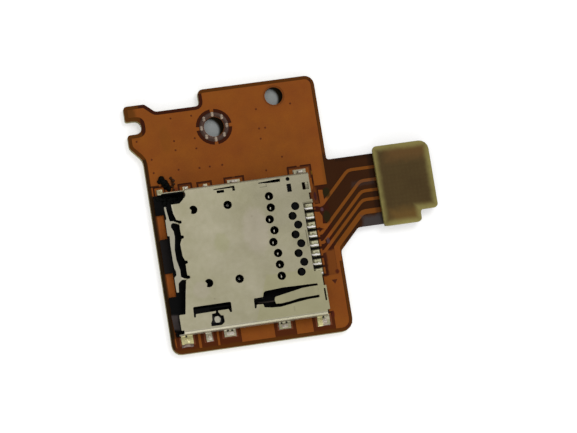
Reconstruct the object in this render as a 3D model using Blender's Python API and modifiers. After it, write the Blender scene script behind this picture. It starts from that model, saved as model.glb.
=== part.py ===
"""A push-push socket for a micro-size memory card on a stiffened flexible circuit with a tail and a plug.

Every size below is in millimetres and becomes metres where a mesh is made. X runs the way the card goes
in, Y across the card and Z up, and board coordinates start at the board's lower left corner.
"""

import math

import bmesh
import bpy
from mathutils import Vector

MM = 0.001

# Layers, from the underside up
BOARD_STIFFENER_THICKNESS = 0.60
FILM_THICKNESS = 0.13
COPPER_HEIGHT = 0.03
TAIL_STIFFENER_THICKNESS = 0.50
SEAT_GAP = 0.01

FILM_LOW = BOARD_STIFFENER_THICKNESS + SEAT_GAP
FILM_HIGH = FILM_LOW + FILM_THICKNESS
BOARD_HIGH = FILM_HIGH + COPPER_HEIGHT
SEAT = BOARD_HIGH + SEAT_GAP

# Board outline
BOARD_WIDTH = 17.40
BOARD_DEPTH = 24.90
CORNER_RADIUS = 0.90
TOP_LEFT_STEP = 6.15
SHELF_Y = 23.35
EAR_REACH = 1.12
EAR_TOP = 24.20
NOTCH_X = -0.30
NOTCH_Y = 22.07
NOTCH_RADIUS = 0.65
COPPER_MARGIN = 0.34

# Holes in the board
SCREW_HOLE = (7.20, 21.15)
SCREW_HOLE_RADIUS = 0.97
SCREW_RING_RADIUS = 1.42
SCREW_CLEAR_RADIUS = 1.74
LOCATING_HOLE = (13.35, 23.35)
LOCATING_HOLE_RADIUS = 0.87
COPPER_CLEARANCE = 0.15

# Tail and the pad at its end
TAIL_LOW = 9.65
TAIL_HIGH = 16.55
TAIL_GUSSET = 2.00
TAIL_LENGTH = 4.45
END_PAD_LENGTH = 5.42
END_PAD_LOW = 9.35
END_PAD_HIGH = 17.10
END_PAD_NOTCH_LENGTH = 1.75
END_PAD_NOTCH_DEPTH = 1.15
END_PAD_RADIUS = 0.35
END_PAD_INSET = 0.06
TRACE_WIDTH = 0.30
# Tracks in the tail: which contact, the level where it enters the end pad, and x - y along its 45 degree run
SIGNAL_TRACKS = ((0, 15.25, 4.00), (3, 14.05, 6.20), (4, 13.05, 7.20), (5, 12.20, 8.00))
GROUND_TRACK = (11.05, 8.95)

END_PAD_X = BOARD_WIDTH + TAIL_LENGTH
END_PAD_END = END_PAD_X + END_PAD_LENGTH

# Plug below the end pad
PLUG_PITCH = 0.40
PLUG_PER_ROW = 8
PLUG_WIDTH = 2.30
PLUG_END_WALL = 0.95
PLUG_WALL = 0.34
PLUG_HEIGHT = 0.59
PLUG_FLOOR = 0.18
PLUG_CONTACT_WIDTH = 0.18
PLUG_CONTACT_THICKNESS = 0.08

# Socket: card, shell and housing
CARD_WIDTH = 11.00
CARD_CLEARANCE = 0.15
SOCKET_FRONT = 0.95
SOCKET_LENGTH = 14.25
SOCKET_LOW = 1.65
SOCKET_WIDTH = 13.75
SOCKET_HEIGHT = 1.40
SHEET = 0.15
SHEET_BEND = 0.22
FOOT_BEND = 0.16
FLOOR_THICKNESS = 0.25
HOUSING_WALL = 0.15
FIT_GAP = 0.02
WALL_LIFT = 0.22

SOCKET_REAR = SOCKET_FRONT + SOCKET_LENGTH
SOCKET_HIGH = SOCKET_LOW + SOCKET_WIDTH
SHELL_TOP = SEAT + SOCKET_HEIGHT
SHELL_UNDER = SHELL_TOP - SHEET
FLOOR_TOP = SEAT + FLOOR_THICKNESS
CARD_HIGH_Y = SOCKET_HIGH - SHEET - HOUSING_WALL
CARD_LOW_Y = CARD_HIGH_Y - CARD_WIDTH - CARD_CLEARANCE
FOOT_REACH = 0.80

# Contacts
CONTACT_PITCH = 1.10
TAIL_PITCH = 0.90
CONTACTS = 8
FIRST_CONTACT_INSET = 1.53
FIRST_TAIL_INSET = 2.83
FIRST_CONTACT_Y = CARD_HIGH_Y - FIRST_CONTACT_INSET
FIRST_TAIL_Y = CARD_HIGH_Y - FIRST_TAIL_INSET
BUMP_X = SOCKET_REAR - 4.05
EARLY_BUMP_STEP = 0.28
EARLY_CONTACTS = (2, 4)
CONTACT_THICKNESS = 0.12
CONTACT_WIDTH = 0.50
BUMP_HEIGHT = 0.62
BEAM_HEIGHT = 0.24
REAR_BLOCK_X = SOCKET_REAR - 2.30
REAR_BLOCK_END = SOCKET_REAR - 0.92

# Notches in the roof's front edge, and the lip before it with the two bridges that hold it
MOUTH_LOBES = (6.98, 8.42, 10.84, 12.28)
LIP_LOW = 5.68
LIP_HIGH = 13.92
LOW_BRIDGE = (6.70, 6.80)
HIGH_BRIDGE = (12.00, 12.12)

# Flaps that the roof's rear edge bends down into, and where that edge is set back, as (start, end)
REAR_FLAPS = ((SOCKET_LOW + 0.55, 4.30), (SOCKET_HIGH - 1.90, SOCKET_HIGH - 0.35))
REAR_STEP = 0.24
REAR_STEPS = ((SOCKET_LOW - 1, SOCKET_LOW + 0.45), (4.42, 6.10), (12.75, SOCKET_HIGH - 2.00))

# Narrow slot in the bend behind the tongue, from the socket's rear and as (start, end)
REAR_SLOT_FAR = 0.29
REAR_SLOT_NEAR = 0.13
REAR_SLOT_Y = (2.97, 4.15)

# Holes in the roof: over each contact's bump, over the rear block in two rows, and over the card
CONTACT_HOLE_RADIUS = 0.41
REAR_HOLE_X = (1.72, 2.12)
REAR_HOLE_RADIUS = 0.40
ROUND_HOLE_RADIUS = 0.41
ROUND_HOLES = ((7.12, 13.29), (7.14, 6.15))
NOTCHED_HOLES = ((3.80, 13.27), (4.20, 6.15))

# Slider, its spring and the pin in its heart-shaped track
SLIDER_TRAVEL = 4.30
SLIDER_LOCKED = 3.80
SLIDER_FRONT = 2.20
SLIDER_LENGTH = 7.00
SLIDER_LOW = SOCKET_LOW + SHEET + HOUSING_WALL + 5 * FIT_GAP
SLIDER_HIGH = CARD_LOW_Y - 2 * FIT_GAP
SLIDER_ARM_WIDTH = 0.95
SLIDER_ARM_REACH = 1.55
SLIDER_BOTTOM = FLOOR_TOP + FIT_GAP
SLIDER_TOP = SHELL_UNDER - 4 * FIT_GAP
SLIDER_END = SLIDER_FRONT + SLIDER_LENGTH
BAY_REAR = SLIDER_END + SLIDER_TRAVEL + 0.15

SPRING_WIRE = 0.12
SPRING_OUTER = 0.70
SPRING_TURNS = 12
SPRING_SEAT_X = 5.40
SPRING_CHANNEL_FLOOR = 0.10
CHANNEL_WIDTH = SPRING_OUTER + 2 * FIT_GAP
SPRING_Y = SLIDER_LOW + 0.10 + CHANNEL_WIDTH / 2
SPRING_Z = SLIDER_BOTTOM + SPRING_CHANNEL_FLOOR + SPRING_OUTER / 2 + FIT_GAP

LOCK_WIDTH = 0.60
LOCK_DEPTH = 0.20
LOCK_Y = SLIDER_LOW + 0.60

PIN_WIRE = 0.18
PIN_TIP_X = 8.50
PIN_SWING = 5.5
LANE_WIDTH = PIN_WIRE + 3 * FIT_GAP
LANE_EDGE = 0.16
LANE_Y = SLIDER_HIGH - LANE_EDGE - LANE_WIDTH / 2
PIN_PIVOT_X = BAY_REAR + 0.30
LANE_SPREAD = (PIN_PIVOT_X - PIN_TIP_X) * math.sin(math.radians(PIN_SWING))
TRACK_FLOOR = SLIDER_BOTTOM + 0.30
PIN_LEVEL = SLIDER_TOP - PIN_WIRE / 2
TRACK_WALL_TOP = PIN_LEVEL - PIN_WIRE / 2 - 2 * FIT_GAP

# Spring tongue in the shell that holds the pin down
TONGUE_ROOT_X = SOCKET_REAR - 0.80
TONGUE_TIP_X = SOCKET_REAR - 5.08

# Where the board's own frame lies: on the underside, below the middle of the card
ORIGIN_X = 8.20
ORIGIN_Y = (CARD_LOW_Y + CARD_HIGH_Y) / 2

ARC_STEP = math.radians(20)
TINY_ARC_STEP = math.radians(45)
WELD = 1e-7

COLOURS = {
    "polyimide": ((0.23, 0.068, 0.014), 0.45, 0.0),
    "circuit_board": ((0.20, 0.16, 0.055), 0.55, 0.0),
    "stainless": ((0.36, 0.33, 0.26), 0.38, 0.9),
    "gold": ((0.72, 0.58, 0.33), 0.3, 1.0),
    "black_plastic": ((0.012, 0.012, 0.012), 0.5, 0.0),
    "steel_wire": ((0.5, 0.5, 0.48), 0.25, 1.0),
}


def clear_scene():
    for old in list(bpy.data.objects):
        bpy.data.objects.remove(old)


def new_collection(name):
    collection = bpy.data.collections.new(name)
    bpy.context.scene.collection.children.link(collection)
    return collection


def make_material(name):
    colour, roughness, metallic = COLOURS[name]
    material = bpy.data.materials.new(name)
    material.use_nodes = True
    shader = material.node_tree.nodes["Principled BSDF"]
    shader.inputs["Base Color"].default_value = (*colour, 1)
    shader.inputs["Roughness"].default_value = roughness
    shader.inputs["Metallic"].default_value = metallic
    material.diffuse_color = (*colour, 1)
    return material


clear_scene()
parts = new_collection("card_socket")
cutters = new_collection("cutters")
materials = {name: make_material(name) for name in COLOURS}
board_frame = bpy.data.objects.new("board_frame", None)
board_frame.location = (-ORIGIN_X * MM, -ORIGIN_Y * MM, 0)
parts.objects.link(board_frame)


def add_object(name, mesh):
    """A cutter or a raw shape: hidden in renders until finish() makes it a part."""
    shape = bpy.data.objects.new(name, mesh)
    cutters.objects.link(shape)
    shape.parent = board_frame
    shape.hide_render = True
    shape.display_type = "WIRE"
    return shape


def finish(shape, name, material_name, sharp=35):
    """Turns a shape into a visible part, with its modifiers applied and its own material."""
    bpy.context.view_layer.update()
    evaluated = shape.evaluated_get(bpy.context.evaluated_depsgraph_get())
    mesh = bpy.data.meshes.new_from_object(evaluated)
    shape.modifiers.clear()
    shape.data = mesh
    shape.name = name
    mesh.name = name
    mesh.materials.clear()
    mesh.materials.append(materials[material_name])
    mesh.shade_smooth()
    mesh.set_sharp_from_angle(angle=math.radians(sharp))
    cutters.objects.unlink(shape)
    parts.objects.link(shape)
    shape.hide_render = False
    shape.display_type = "TEXTURED"
    return shape


def move_origin(shape, point):
    """Puts the object's origin on its joint without moving its mesh."""
    offset = Vector(point) * MM
    shape.data.transform(shape.matrix_basis)
    for vertex in shape.data.vertices:
        vertex.co -= offset
    shape.matrix_basis.identity()
    shape.location = offset


def boolean(shape, other, operation):
    modifier = shape.modifiers.new(operation.lower(), "BOOLEAN")
    modifier.operation = operation
    modifier.object = other
    modifier.solver = "EXACT"


def cut(shape, *others):
    for other in others:
        boolean(shape, other, "DIFFERENCE")


def join(shape, *others):
    for other in others:
        boolean(shape, other, "UNION")


def rounded(corners, closed=True, arc_step=ARC_STEP):
    """Points along straight edges with an arc at each corner (x, y, radius), kept within its edges."""
    points = []
    count = len(corners)
    for index, (x, y, radius) in enumerate(corners):
        if radius <= 0 or (not closed and index in (0, count - 1)):
            points.append((x, y))
            continue
        here = Vector((x, y))
        back = Vector(corners[index - 1][:2]) - here
        ahead = Vector(corners[(index + 1) % count][:2]) - here
        room = min(back.length, ahead.length) * 0.495
        back.normalize()
        ahead.normalize()
        between = back.angle(ahead)
        turn = math.pi - between
        if turn < 1e-3:
            points.append((x, y))
            continue
        radius = min(radius, room * math.tan(between / 2))
        centre = here + (back + ahead).normalized() * (radius / math.sin(between / 2))
        start = here + back * (radius / math.tan(between / 2)) - centre
        steps = max(2, round(turn / arc_step))
        side = 1 if back.cross(ahead) < 0 else -1
        for step in range(steps + 1):
            angle = side * turn * step / steps
            turned = Vector((
                start.x * math.cos(angle) - start.y * math.sin(angle),
                start.x * math.sin(angle) + start.y * math.cos(angle),
            ))
            points.append(tuple(centre + turned))
    return points


def inset(corners, distance):
    """Moves every edge of an anticlockwise outline inwards, with its corner radii to suit."""
    moved = []
    count = len(corners)
    for index, (x, y, radius) in enumerate(corners):
        here = Vector((x, y))
        before = (here - Vector(corners[index - 1][:2])).normalized()
        after = (Vector(corners[(index + 1) % count][:2]) - here).normalized()
        normal = (Vector((-before.y, before.x)) + Vector((-after.y, after.x))).normalized()
        miter = distance / max(0.3, normal.dot(Vector((-after.y, after.x))))
        outer_corner = before.cross(after) > 0
        new_radius = max(0.05, radius - distance) if outer_corner else radius + distance
        moved.append((x + normal.x * miter, y + normal.y * miter, new_radius))
    return moved


def box_loop(x0, y0, x1, y1, radius=0.0):
    return rounded([(x0, y0, radius), (x1, y0, radius), (x1, y1, radius), (x0, y1, radius)])


def circle_loop(x, y, radius, sides=16):
    turn = 2 * math.pi / sides
    return [(x + radius * math.cos(i * turn), y + radius * math.sin(i * turn)) for i in range(sides)]


def ring_sector(centre, inner, outer, start, end, steps=6):
    """A stretch of a flat ring between two angles in degrees."""
    angles = [math.radians(start + (end - start) * i / steps) for i in range(steps + 1)]
    outside = [(centre[0] + outer * math.cos(a), centre[1] + outer * math.sin(a)) for a in angles]
    inside = [(centre[0] + inner * math.cos(a), centre[1] + inner * math.sin(a)) for a in reversed(angles)]
    return outside + inside


def band(path, width):
    """The outline of a track of one width along a path of (x, y, radius)."""
    points = [Vector(point) for point in rounded(path, closed=False)]
    left = []
    right = []
    for index, point in enumerate(points):
        before = (point - points[index - 1]).normalized() if index else None
        after = (points[index + 1] - point).normalized() if index + 1 < len(points) else None
        along = ((before or after) + (after or before)).normalized()
        half = width / 2 / max(0.5, along.dot(after or before))
        normal = Vector((-along.y, along.x)) * half
        left.append(tuple(point + normal))
        right.append(tuple(point - normal))
    return right + left[::-1]


def plate(name, loops, low, high):
    """A flat sheet from closed outlines. A loop inside another is a hole in it."""
    curve = bpy.data.curves.new(name, "CURVE")
    curve.dimensions = "2D"
    curve.fill_mode = "BOTH"
    curve.extrude = (high - low) / 2 * MM
    for loop in loops:
        spline = curve.splines.new("POLY")
        spline.points.add(len(loop) - 1)
        for point, (x, y) in zip(spline.points, loop):
            point.co = (x * MM, y * MM, 0, 1)
        spline.use_cyclic_u = True
    flat = bpy.data.objects.new(name, curve)
    bpy.context.scene.collection.objects.link(flat)
    bpy.context.view_layer.update()
    evaluated = flat.evaluated_get(bpy.context.evaluated_depsgraph_get())
    mesh = bpy.data.meshes.new_from_object(evaluated)
    bpy.data.objects.remove(flat)
    shape = bmesh.new()
    shape.from_mesh(mesh)
    bmesh.ops.remove_doubles(shape, verts=shape.verts, dist=WELD)
    bmesh.ops.dissolve_limit(shape, angle_limit=math.radians(0.5), verts=shape.verts, edges=shape.edges)
    bmesh.ops.translate(shape, verts=shape.verts, vec=(0, 0, (low + high) / 2 * MM))
    bmesh.ops.recalc_face_normals(shape, faces=shape.faces)
    shape.to_mesh(mesh)
    shape.free()
    return add_object(name, mesh)


def box(name, x0, y0, z0, x1, y1, z1):
    shape = bmesh.new()
    bmesh.ops.create_cube(shape, size=1)
    for vertex in shape.verts:
        vertex.co = (
            (x0 + x1 + vertex.co.x * 2 * (x1 - x0)) / 2 * MM,
            (y0 + y1 + vertex.co.y * 2 * (y1 - y0)) / 2 * MM,
            (z0 + z1 + vertex.co.z * 2 * (z1 - z0)) / 2 * MM,
        )
    mesh = bpy.data.meshes.new(name)
    shape.to_mesh(mesh)
    shape.free()
    return add_object(name, mesh)


def ribbon(name, path, across, thickness):
    """A leaf of sheet metal: a strip of one width along a path, thickened with Solidify."""
    half = Vector(across) / 2
    surface = bmesh.new()
    rows = []
    for point in path:
        middle = Vector(point)
        rows.append([surface.verts.new((middle - half) * MM), surface.verts.new((middle + half) * MM)])
    for first, second in zip(rows, rows[1:]):
        surface.faces.new((first[0], first[1], second[1], second[0]))
    mesh = bpy.data.meshes.new(name)
    surface.to_mesh(mesh)
    surface.free()
    shape = add_object(name, mesh)
    thicken = shape.modifiers.new("thickness", "SOLIDIFY")
    thicken.thickness = thickness * MM
    thicken.offset = 0
    thicken.use_even_offset = True
    return shape


def side_path(corners, y, arc_step=ARC_STEP):
    """A path seen from the side: (x, z, radius) corners in the plane of one y."""
    return [(x, y, z) for x, z in rounded(corners, closed=False, arc_step=arc_step)]


def wire(name, path, diameter, resolution=2):
    """A round wire with closed ends along a path of points, made into a mesh."""
    curve = bpy.data.curves.new(name, "CURVE")
    curve.dimensions = "3D"
    curve.bevel_depth = diameter / 2 * MM
    curve.bevel_resolution = resolution
    curve.use_fill_caps = True
    spline = curve.splines.new("POLY")
    spline.points.add(len(path) - 1)
    for point, place in zip(spline.points, path):
        point.co = (place[0] * MM, place[1] * MM, place[2] * MM, 1)
    tube = bpy.data.objects.new(name, curve)
    bpy.context.scene.collection.objects.link(tube)
    bpy.context.view_layer.update()
    evaluated = tube.evaluated_get(bpy.context.evaluated_depsgraph_get())
    mesh = bpy.data.meshes.new_from_object(evaluated)
    bpy.data.objects.remove(tube)
    shape = bmesh.new()
    shape.from_mesh(mesh)
    bmesh.ops.remove_doubles(shape, verts=shape.verts, dist=WELD)
    bmesh.ops.recalc_face_normals(shape, faces=shape.faces)
    shape.to_mesh(mesh)
    shape.free()
    return add_object(name, mesh)


# Board outline, anticlockwise, as (x, y, corner radius)
LOWER_CORNERS = [(0, 0, CORNER_RADIUS), (BOARD_WIDTH, 0, CORNER_RADIUS + 0.2)]
UPPER_CORNERS = [
    (BOARD_WIDTH, BOARD_DEPTH, CORNER_RADIUS),
    (TOP_LEFT_STEP, BOARD_DEPTH, 0.45),
    (TOP_LEFT_STEP, SHELF_Y, 0.40),
    (1.85, SHELF_Y, 0.50),
    (0.90, EAR_TOP, 0.40),
    (-EAR_REACH, EAR_TOP, 0.30),
    (-EAR_REACH, NOTCH_Y + NOTCH_RADIUS, 0.18),
    (NOTCH_X + NOTCH_RADIUS, NOTCH_Y + NOTCH_RADIUS, NOTCH_RADIUS - 0.01),
    (NOTCH_X + NOTCH_RADIUS, NOTCH_Y - NOTCH_RADIUS, NOTCH_RADIUS - 0.01),
    (-EAR_REACH, NOTCH_Y - NOTCH_RADIUS, 0.25),
    (-EAR_REACH, 20.15, 0.70),
    (0, 18.85, 1.10),
]


def end_pad_corners():
    notch_x = END_PAD_END - END_PAD_NOTCH_LENGTH
    notch_y = END_PAD_LOW + END_PAD_NOTCH_DEPTH
    return [
        (END_PAD_X, END_PAD_LOW, END_PAD_RADIUS),
        (notch_x, END_PAD_LOW, END_PAD_RADIUS),
        (notch_x, notch_y, END_PAD_RADIUS),
        (END_PAD_END, notch_y, END_PAD_RADIUS),
        (END_PAD_END, END_PAD_HIGH, END_PAD_RADIUS + 0.55),
        (END_PAD_X, END_PAD_HIGH, END_PAD_RADIUS),
    ]


def film_corners():
    """The whole film: board, tail and the wider end under the tail's stiffener."""
    pad = inset(end_pad_corners(), END_PAD_INSET)
    tail = [
        (BOARD_WIDTH, TAIL_LOW - TAIL_GUSSET, 0.40),
        (BOARD_WIDTH + TAIL_GUSSET, TAIL_LOW, 0.40),
        (pad[0][0], TAIL_LOW, 0.06),
    ]
    back = [(pad[-1][0], TAIL_HIGH, 0.06), (BOARD_WIDTH, TAIL_HIGH, 0.25)]
    return LOWER_CORNERS + tail + pad + back + UPPER_CORNERS


def board_holes():
    return [
        circle_loop(*SCREW_HOLE, SCREW_HOLE_RADIUS, 24),
        circle_loop(*LOCATING_HOLE, LOCATING_HOLE_RADIUS, 24),
    ]


# Solder feet of the shell as (start, end, reach from the wall), along the low and the high wall
LOW_FEET = (
    (SOCKET_FRONT, SOCKET_FRONT + 1.10, FOOT_REACH),
    (3.30, 3.85, FOOT_REACH),
    (5.05, 6.15, 0.65),
    (10.35, 11.45, 0.65),
    (SOCKET_REAR - 1.15, SOCKET_REAR, FOOT_REACH),
)
HIGH_FEET = (
    (SOCKET_FRONT - 0.15, SOCKET_FRONT + 0.35, 0.40),
    (7.60, 8.80, 0.42),
    (SOCKET_REAR - 1.15, SOCKET_REAR, 0.52),
)
ARM_FOOT = (3.30, 3.80)
STOP_FOOT = (5.30, 5.65)
# Solder pads along the high wall as (start, end, reach from the wall)
HIGH_PADS = (
    (SOCKET_FRONT - 0.33, SOCKET_FRONT + 0.55, 0.60),
    (3.02, 4.07, 0.60),
    (4.81, 6.01, 0.53),
    (7.46, 9.13, 0.60),
    (SOCKET_REAR - 1.57, SOCKET_REAR + 0.47, 0.80),
)
# Copper between the tails' pads and their tracks
SHARED_PADS = [
    [(16.12, 12.35), (16.54, 12.30), (16.54, 13.70), (16.12, 13.76)],
    [(15.43, 10.30), (15.94, 10.03), (16.43, 9.96), (16.56, 10.42), (16.06, 10.48), (16.13, 11.20),
     (15.92, 11.64), (15.43, 11.68)],
]
# Where two of the high pads join the copper round them, as (start, end, y)
PAD_SPOKES = ((8.12, 8.42, 16.05), (14.45, 14.75, 16.25))


def foot_pads():
    """Copper pads below the feet, as (x0, y0, x1, y1)."""
    side = 0.20
    under = 0.25
    low = [
        (x0 - side, SOCKET_LOW - reach - 0.10, x1 + side, SOCKET_LOW + under)
        for x0, x1, reach in LOW_FEET
    ]
    high = [(x0, SOCKET_HIGH - under, x1, SOCKET_HIGH + reach) for x0, x1, reach in HIGH_PADS]
    return low + high


def contact_row():
    """Each contact as (x of its bump, y of its bump, y of its solder tail), from the high side down."""
    rows = []
    for index in range(CONTACTS):
        x = BUMP_X - (EARLY_BUMP_STEP if index in EARLY_CONTACTS else 0)
        rows.append((x, FIRST_CONTACT_Y - index * CONTACT_PITCH, FIRST_TAIL_Y - index * TAIL_PITCH))
    return rows


def tracks():
    """The copper tracks from the socket's tails across the board to the end pad."""
    tails = [tail_y for _, _, tail_y in contact_row()]
    start = SOCKET_REAR + 0.30
    end = END_PAD_X + 0.25
    bend = 0.80
    found = []
    for tail, level, offset in SIGNAL_TRACKS:
        # Level out of the end pad, down at 45 degrees and level again into the contact's solder pad.
        source = tails[tail]
        path = [
            (end, level, 0),
            (level + offset, level, bend),
            (source + offset, source, 0.4),
            (start, source, 0),
        ]
        found.append(band(path, TRACE_WIDTH))
    level, offset = GROUND_TRACK
    edge_x = BOARD_WIDTH - COPPER_MARGIN
    low_y = edge_x - offset
    ground = [(end, level, 0), (level + offset, level, bend), (edge_x, low_y, 0.6), (edge_x, low_y - 1.4, 0)]
    return found + [band(ground, TRACE_WIDTH * 1.6)]


def make_flex_board():
    """The flexible circuit: one film with its copper standing a little proud under the cover layer."""
    film = plate("film", [rounded(film_corners())], FILM_LOW, FILM_HIGH)
    sunk = FILM_HIGH - FILM_THICKNESS / 3
    pour_edge = rounded(inset(LOWER_CORNERS + UPPER_CORNERS, COPPER_MARGIN))
    pour = plate("copper_pour", [pour_edge], sunk, BOARD_HIGH)
    clear = [
        [(SOCKET_REAR - 1.05, 5.5), (16.75, 5.5), (16.75, 8.1), (18.5, 9.9), (18.5, 14.2), (15.85, 14.2),
         (SOCKET_REAR + 0.1, 13.5), (SOCKET_REAR - 1.05, 13.5)],
        box_loop(HIGH_PADS[-1][1], 13.9, HIGH_PADS[-1][1] + 1.1 * COPPER_CLEARANCE, SOCKET_HIGH),
        circle_loop(*LOCATING_HOLE, LOCATING_HOLE_RADIUS + COPPER_CLEARANCE, 24),
    ]
    quarter = 90
    spoke = 12
    for turn in range(4):
        start = turn * quarter + spoke / 2
        end = start + quarter - spoke
        clear.append(ring_sector(SCREW_HOLE, SCREW_RING_RADIUS, SCREW_CLEAR_RADIUS, start, end))
    pads = foot_pads()
    for x0, y0, x1, y1 in pads:
        below = y1 < SOCKET_HIGH - 5
        low_y = -1 if below else y0
        side = 2 * COPPER_CLEARANCE if below else COPPER_CLEARANCE
        clear.append(box_loop(x0 - side, low_y, x1 + side, y1 + COPPER_CLEARANCE))
    for index, loop in enumerate(clear):
        cut(pour, plate(f"copper_clearance_{index}", [loop], FILM_LOW, SHELL_TOP))
    pad_loops = [box_loop(x0, y0, x1, y1) for x0, y0, x1, y1 in pads]
    pad_loops += [
        box_loop(SOCKET_REAR - 0.85, tail_y - 0.33, SOCKET_REAR + 0.40, tail_y + 0.33)
        for _, _, tail_y in contact_row()
    ]
    pad_copper = plate("pad_copper", pad_loops, sunk, BOARD_HIGH)
    join(film, pour, pad_copper)
    for start, end, y in PAD_SPOKES:
        join(film, plate("pad_spoke", [box_loop(start, y - 0.20, end, y + 0.20)], sunk + 0.005, BOARD_HIGH))
    for index, loop in enumerate(tracks() + SHARED_PADS):
        join(film, plate(f"track_{index}", [loop], sunk + 0.005, BOARD_HIGH))
    cut(film, plate("board_holes", board_holes(), FILM_LOW - 0.1, BOARD_HIGH + 0.1))
    return finish(film, "flex_board", "polyimide")


def make_stiffeners():
    board = plate(
        "board", [rounded(LOWER_CORNERS + UPPER_CORNERS)] + board_holes(), 0, BOARD_STIFFENER_THICKNESS
    )
    finish(board, "board_stiffener", "circuit_board")
    tail = plate("tail", [rounded(end_pad_corners())], SEAT, SEAT + TAIL_STIFFENER_THICKNESS)
    edge = tail.modifiers.new("worn edges", "BEVEL")
    edge.width = 0.05 * MM
    edge.segments = 2
    edge.limit_method = "ANGLE"
    edge.angle_limit = math.radians(50)
    finish(tail, "tail_stiffener", "circuit_board")


def make_plug():
    """The board-to-board plug below the end pad: a rim of plastic, two rows of contacts and two end clips."""
    length = (PLUG_PER_ROW - 1) * PLUG_PITCH + 2 * PLUG_END_WALL
    middle_x = END_PAD_X + END_PAD_LENGTH / 2
    middle_y = (END_PAD_LOW + END_PAD_NOTCH_DEPTH + END_PAD_HIGH) / 2
    x0 = middle_x - PLUG_WIDTH / 2
    x1 = middle_x + PLUG_WIDTH / 2
    y0 = middle_y - length / 2
    y1 = middle_y + length / 2
    top = FILM_LOW - SEAT_GAP
    bottom = top - PLUG_HEIGHT
    frame = plate("plug", [box_loop(x0, y0, x1, y1, 0.15)], bottom, top)
    well_wall = PLUG_WALL + PLUG_CONTACT_THICKNESS
    well = plate(
        "plug_well",
        [box_loop(x0 + well_wall, y0 + PLUG_END_WALL - 0.35,
                  x1 - well_wall, y1 - PLUG_END_WALL + 0.35, 0.08)],
        bottom - 0.1,
        top - PLUG_FLOOR,
    )
    cut(frame, well)
    tail_reach = 0.28
    half_width = PLUG_CONTACT_WIDTH / 2
    gap = FIT_GAP
    first_y = middle_y - (PLUG_PER_ROW - 1) * PLUG_PITCH / 2
    for row, (wall_x, inward) in enumerate(((x0, 1), (x1, -1))):
        outside = wall_x - inward * tail_reach
        over = wall_x + inward * (PLUG_WALL / 2)
        inside = wall_x + inward * (PLUG_WALL + PLUG_CONTACT_THICKNESS / 2)
        level = top - PLUG_CONTACT_THICKNESS / 2
        rim = bottom + PLUG_CONTACT_THICKNESS / 2 + FIT_GAP
        for index in range(PLUG_PER_ROW):
            y = first_y + index * PLUG_PITCH
            path = side_path([
                (outside, level, 0),
                (wall_x - inward * 0.06, level, 0.05),
                (wall_x - inward * 0.06, rim, 0.08),
                (inside, rim, 0.08),
                (inside, top - PLUG_FLOOR - 0.05, 0),
            ], y, TINY_ARC_STEP)
            number = row * PLUG_PER_ROW + index + 1
            contact = ribbon("plug_leaf", path, (0, PLUG_CONTACT_WIDTH, 0), PLUG_CONTACT_THICKNESS)
            finish(contact, f"plug_contact_{number:02d}", "gold")
            edge_x = sorted((wall_x - inward * 0.2, over + inward * PLUG_WALL * 1.2))
            slot = box("plug_slot", edge_x[0], y - half_width - gap, bottom - 0.1,
                       edge_x[1], y + half_width + gap, rim + PLUG_CONTACT_THICKNESS / 2 + gap)
            cut(frame, slot)
    for name, end_y, outward in (("plug_clip_1", y0, -1), ("plug_clip_2", y1, 1)):
        face_y = end_y + outward * 0.06
        rim = bottom + PLUG_CONTACT_THICKNESS / 2 + FIT_GAP
        level = top - PLUG_CONTACT_THICKNESS / 2
        corners = [
            (end_y + outward * 0.30, level, 0),
            (face_y, level, 0.05),
            (face_y, rim, 0.08),
            (end_y - outward * 0.40, rim, 0),
        ]
        path = [(middle_x, y, z) for y, z in rounded(corners, closed=False)]
        clip = ribbon(name, path, (PLUG_WIDTH * 0.7, 0, 0), PLUG_CONTACT_THICKNESS)
        finish(clip, name, "gold")
        ends = sorted((end_y + outward * 0.2, end_y - outward * 0.44))
        cut(frame, box("clip_slot", middle_x - PLUG_WIDTH * 0.35 - gap, ends[0], bottom - 0.1,
                       middle_x + PLUG_WIDTH * 0.35 + gap, ends[1], rim + PLUG_CONTACT_THICKNESS / 2 + gap))
    finish(frame, "plug_housing", "black_plastic")


def hat_section():
    """The shell across the card: foot, wall, roof, wall and foot, along the middle of the sheet."""
    low = SOCKET_LOW + SHEET / 2
    high = SOCKET_HIGH - SHEET / 2
    foot_z = SEAT + SHEET / 2
    roof_z = SHELL_TOP - SHEET / 2
    corners = [
        (low - FOOT_REACH - SHEET / 2, foot_z, 0),
        (low, foot_z, FOOT_BEND),
        (low, roof_z, SHEET_BEND),
        (high, roof_z, SHEET_BEND),
        (high, foot_z, FOOT_BEND),
        (high + FOOT_REACH + SHEET / 2, foot_z, 0),
    ]
    return rounded(corners, closed=False)


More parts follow.
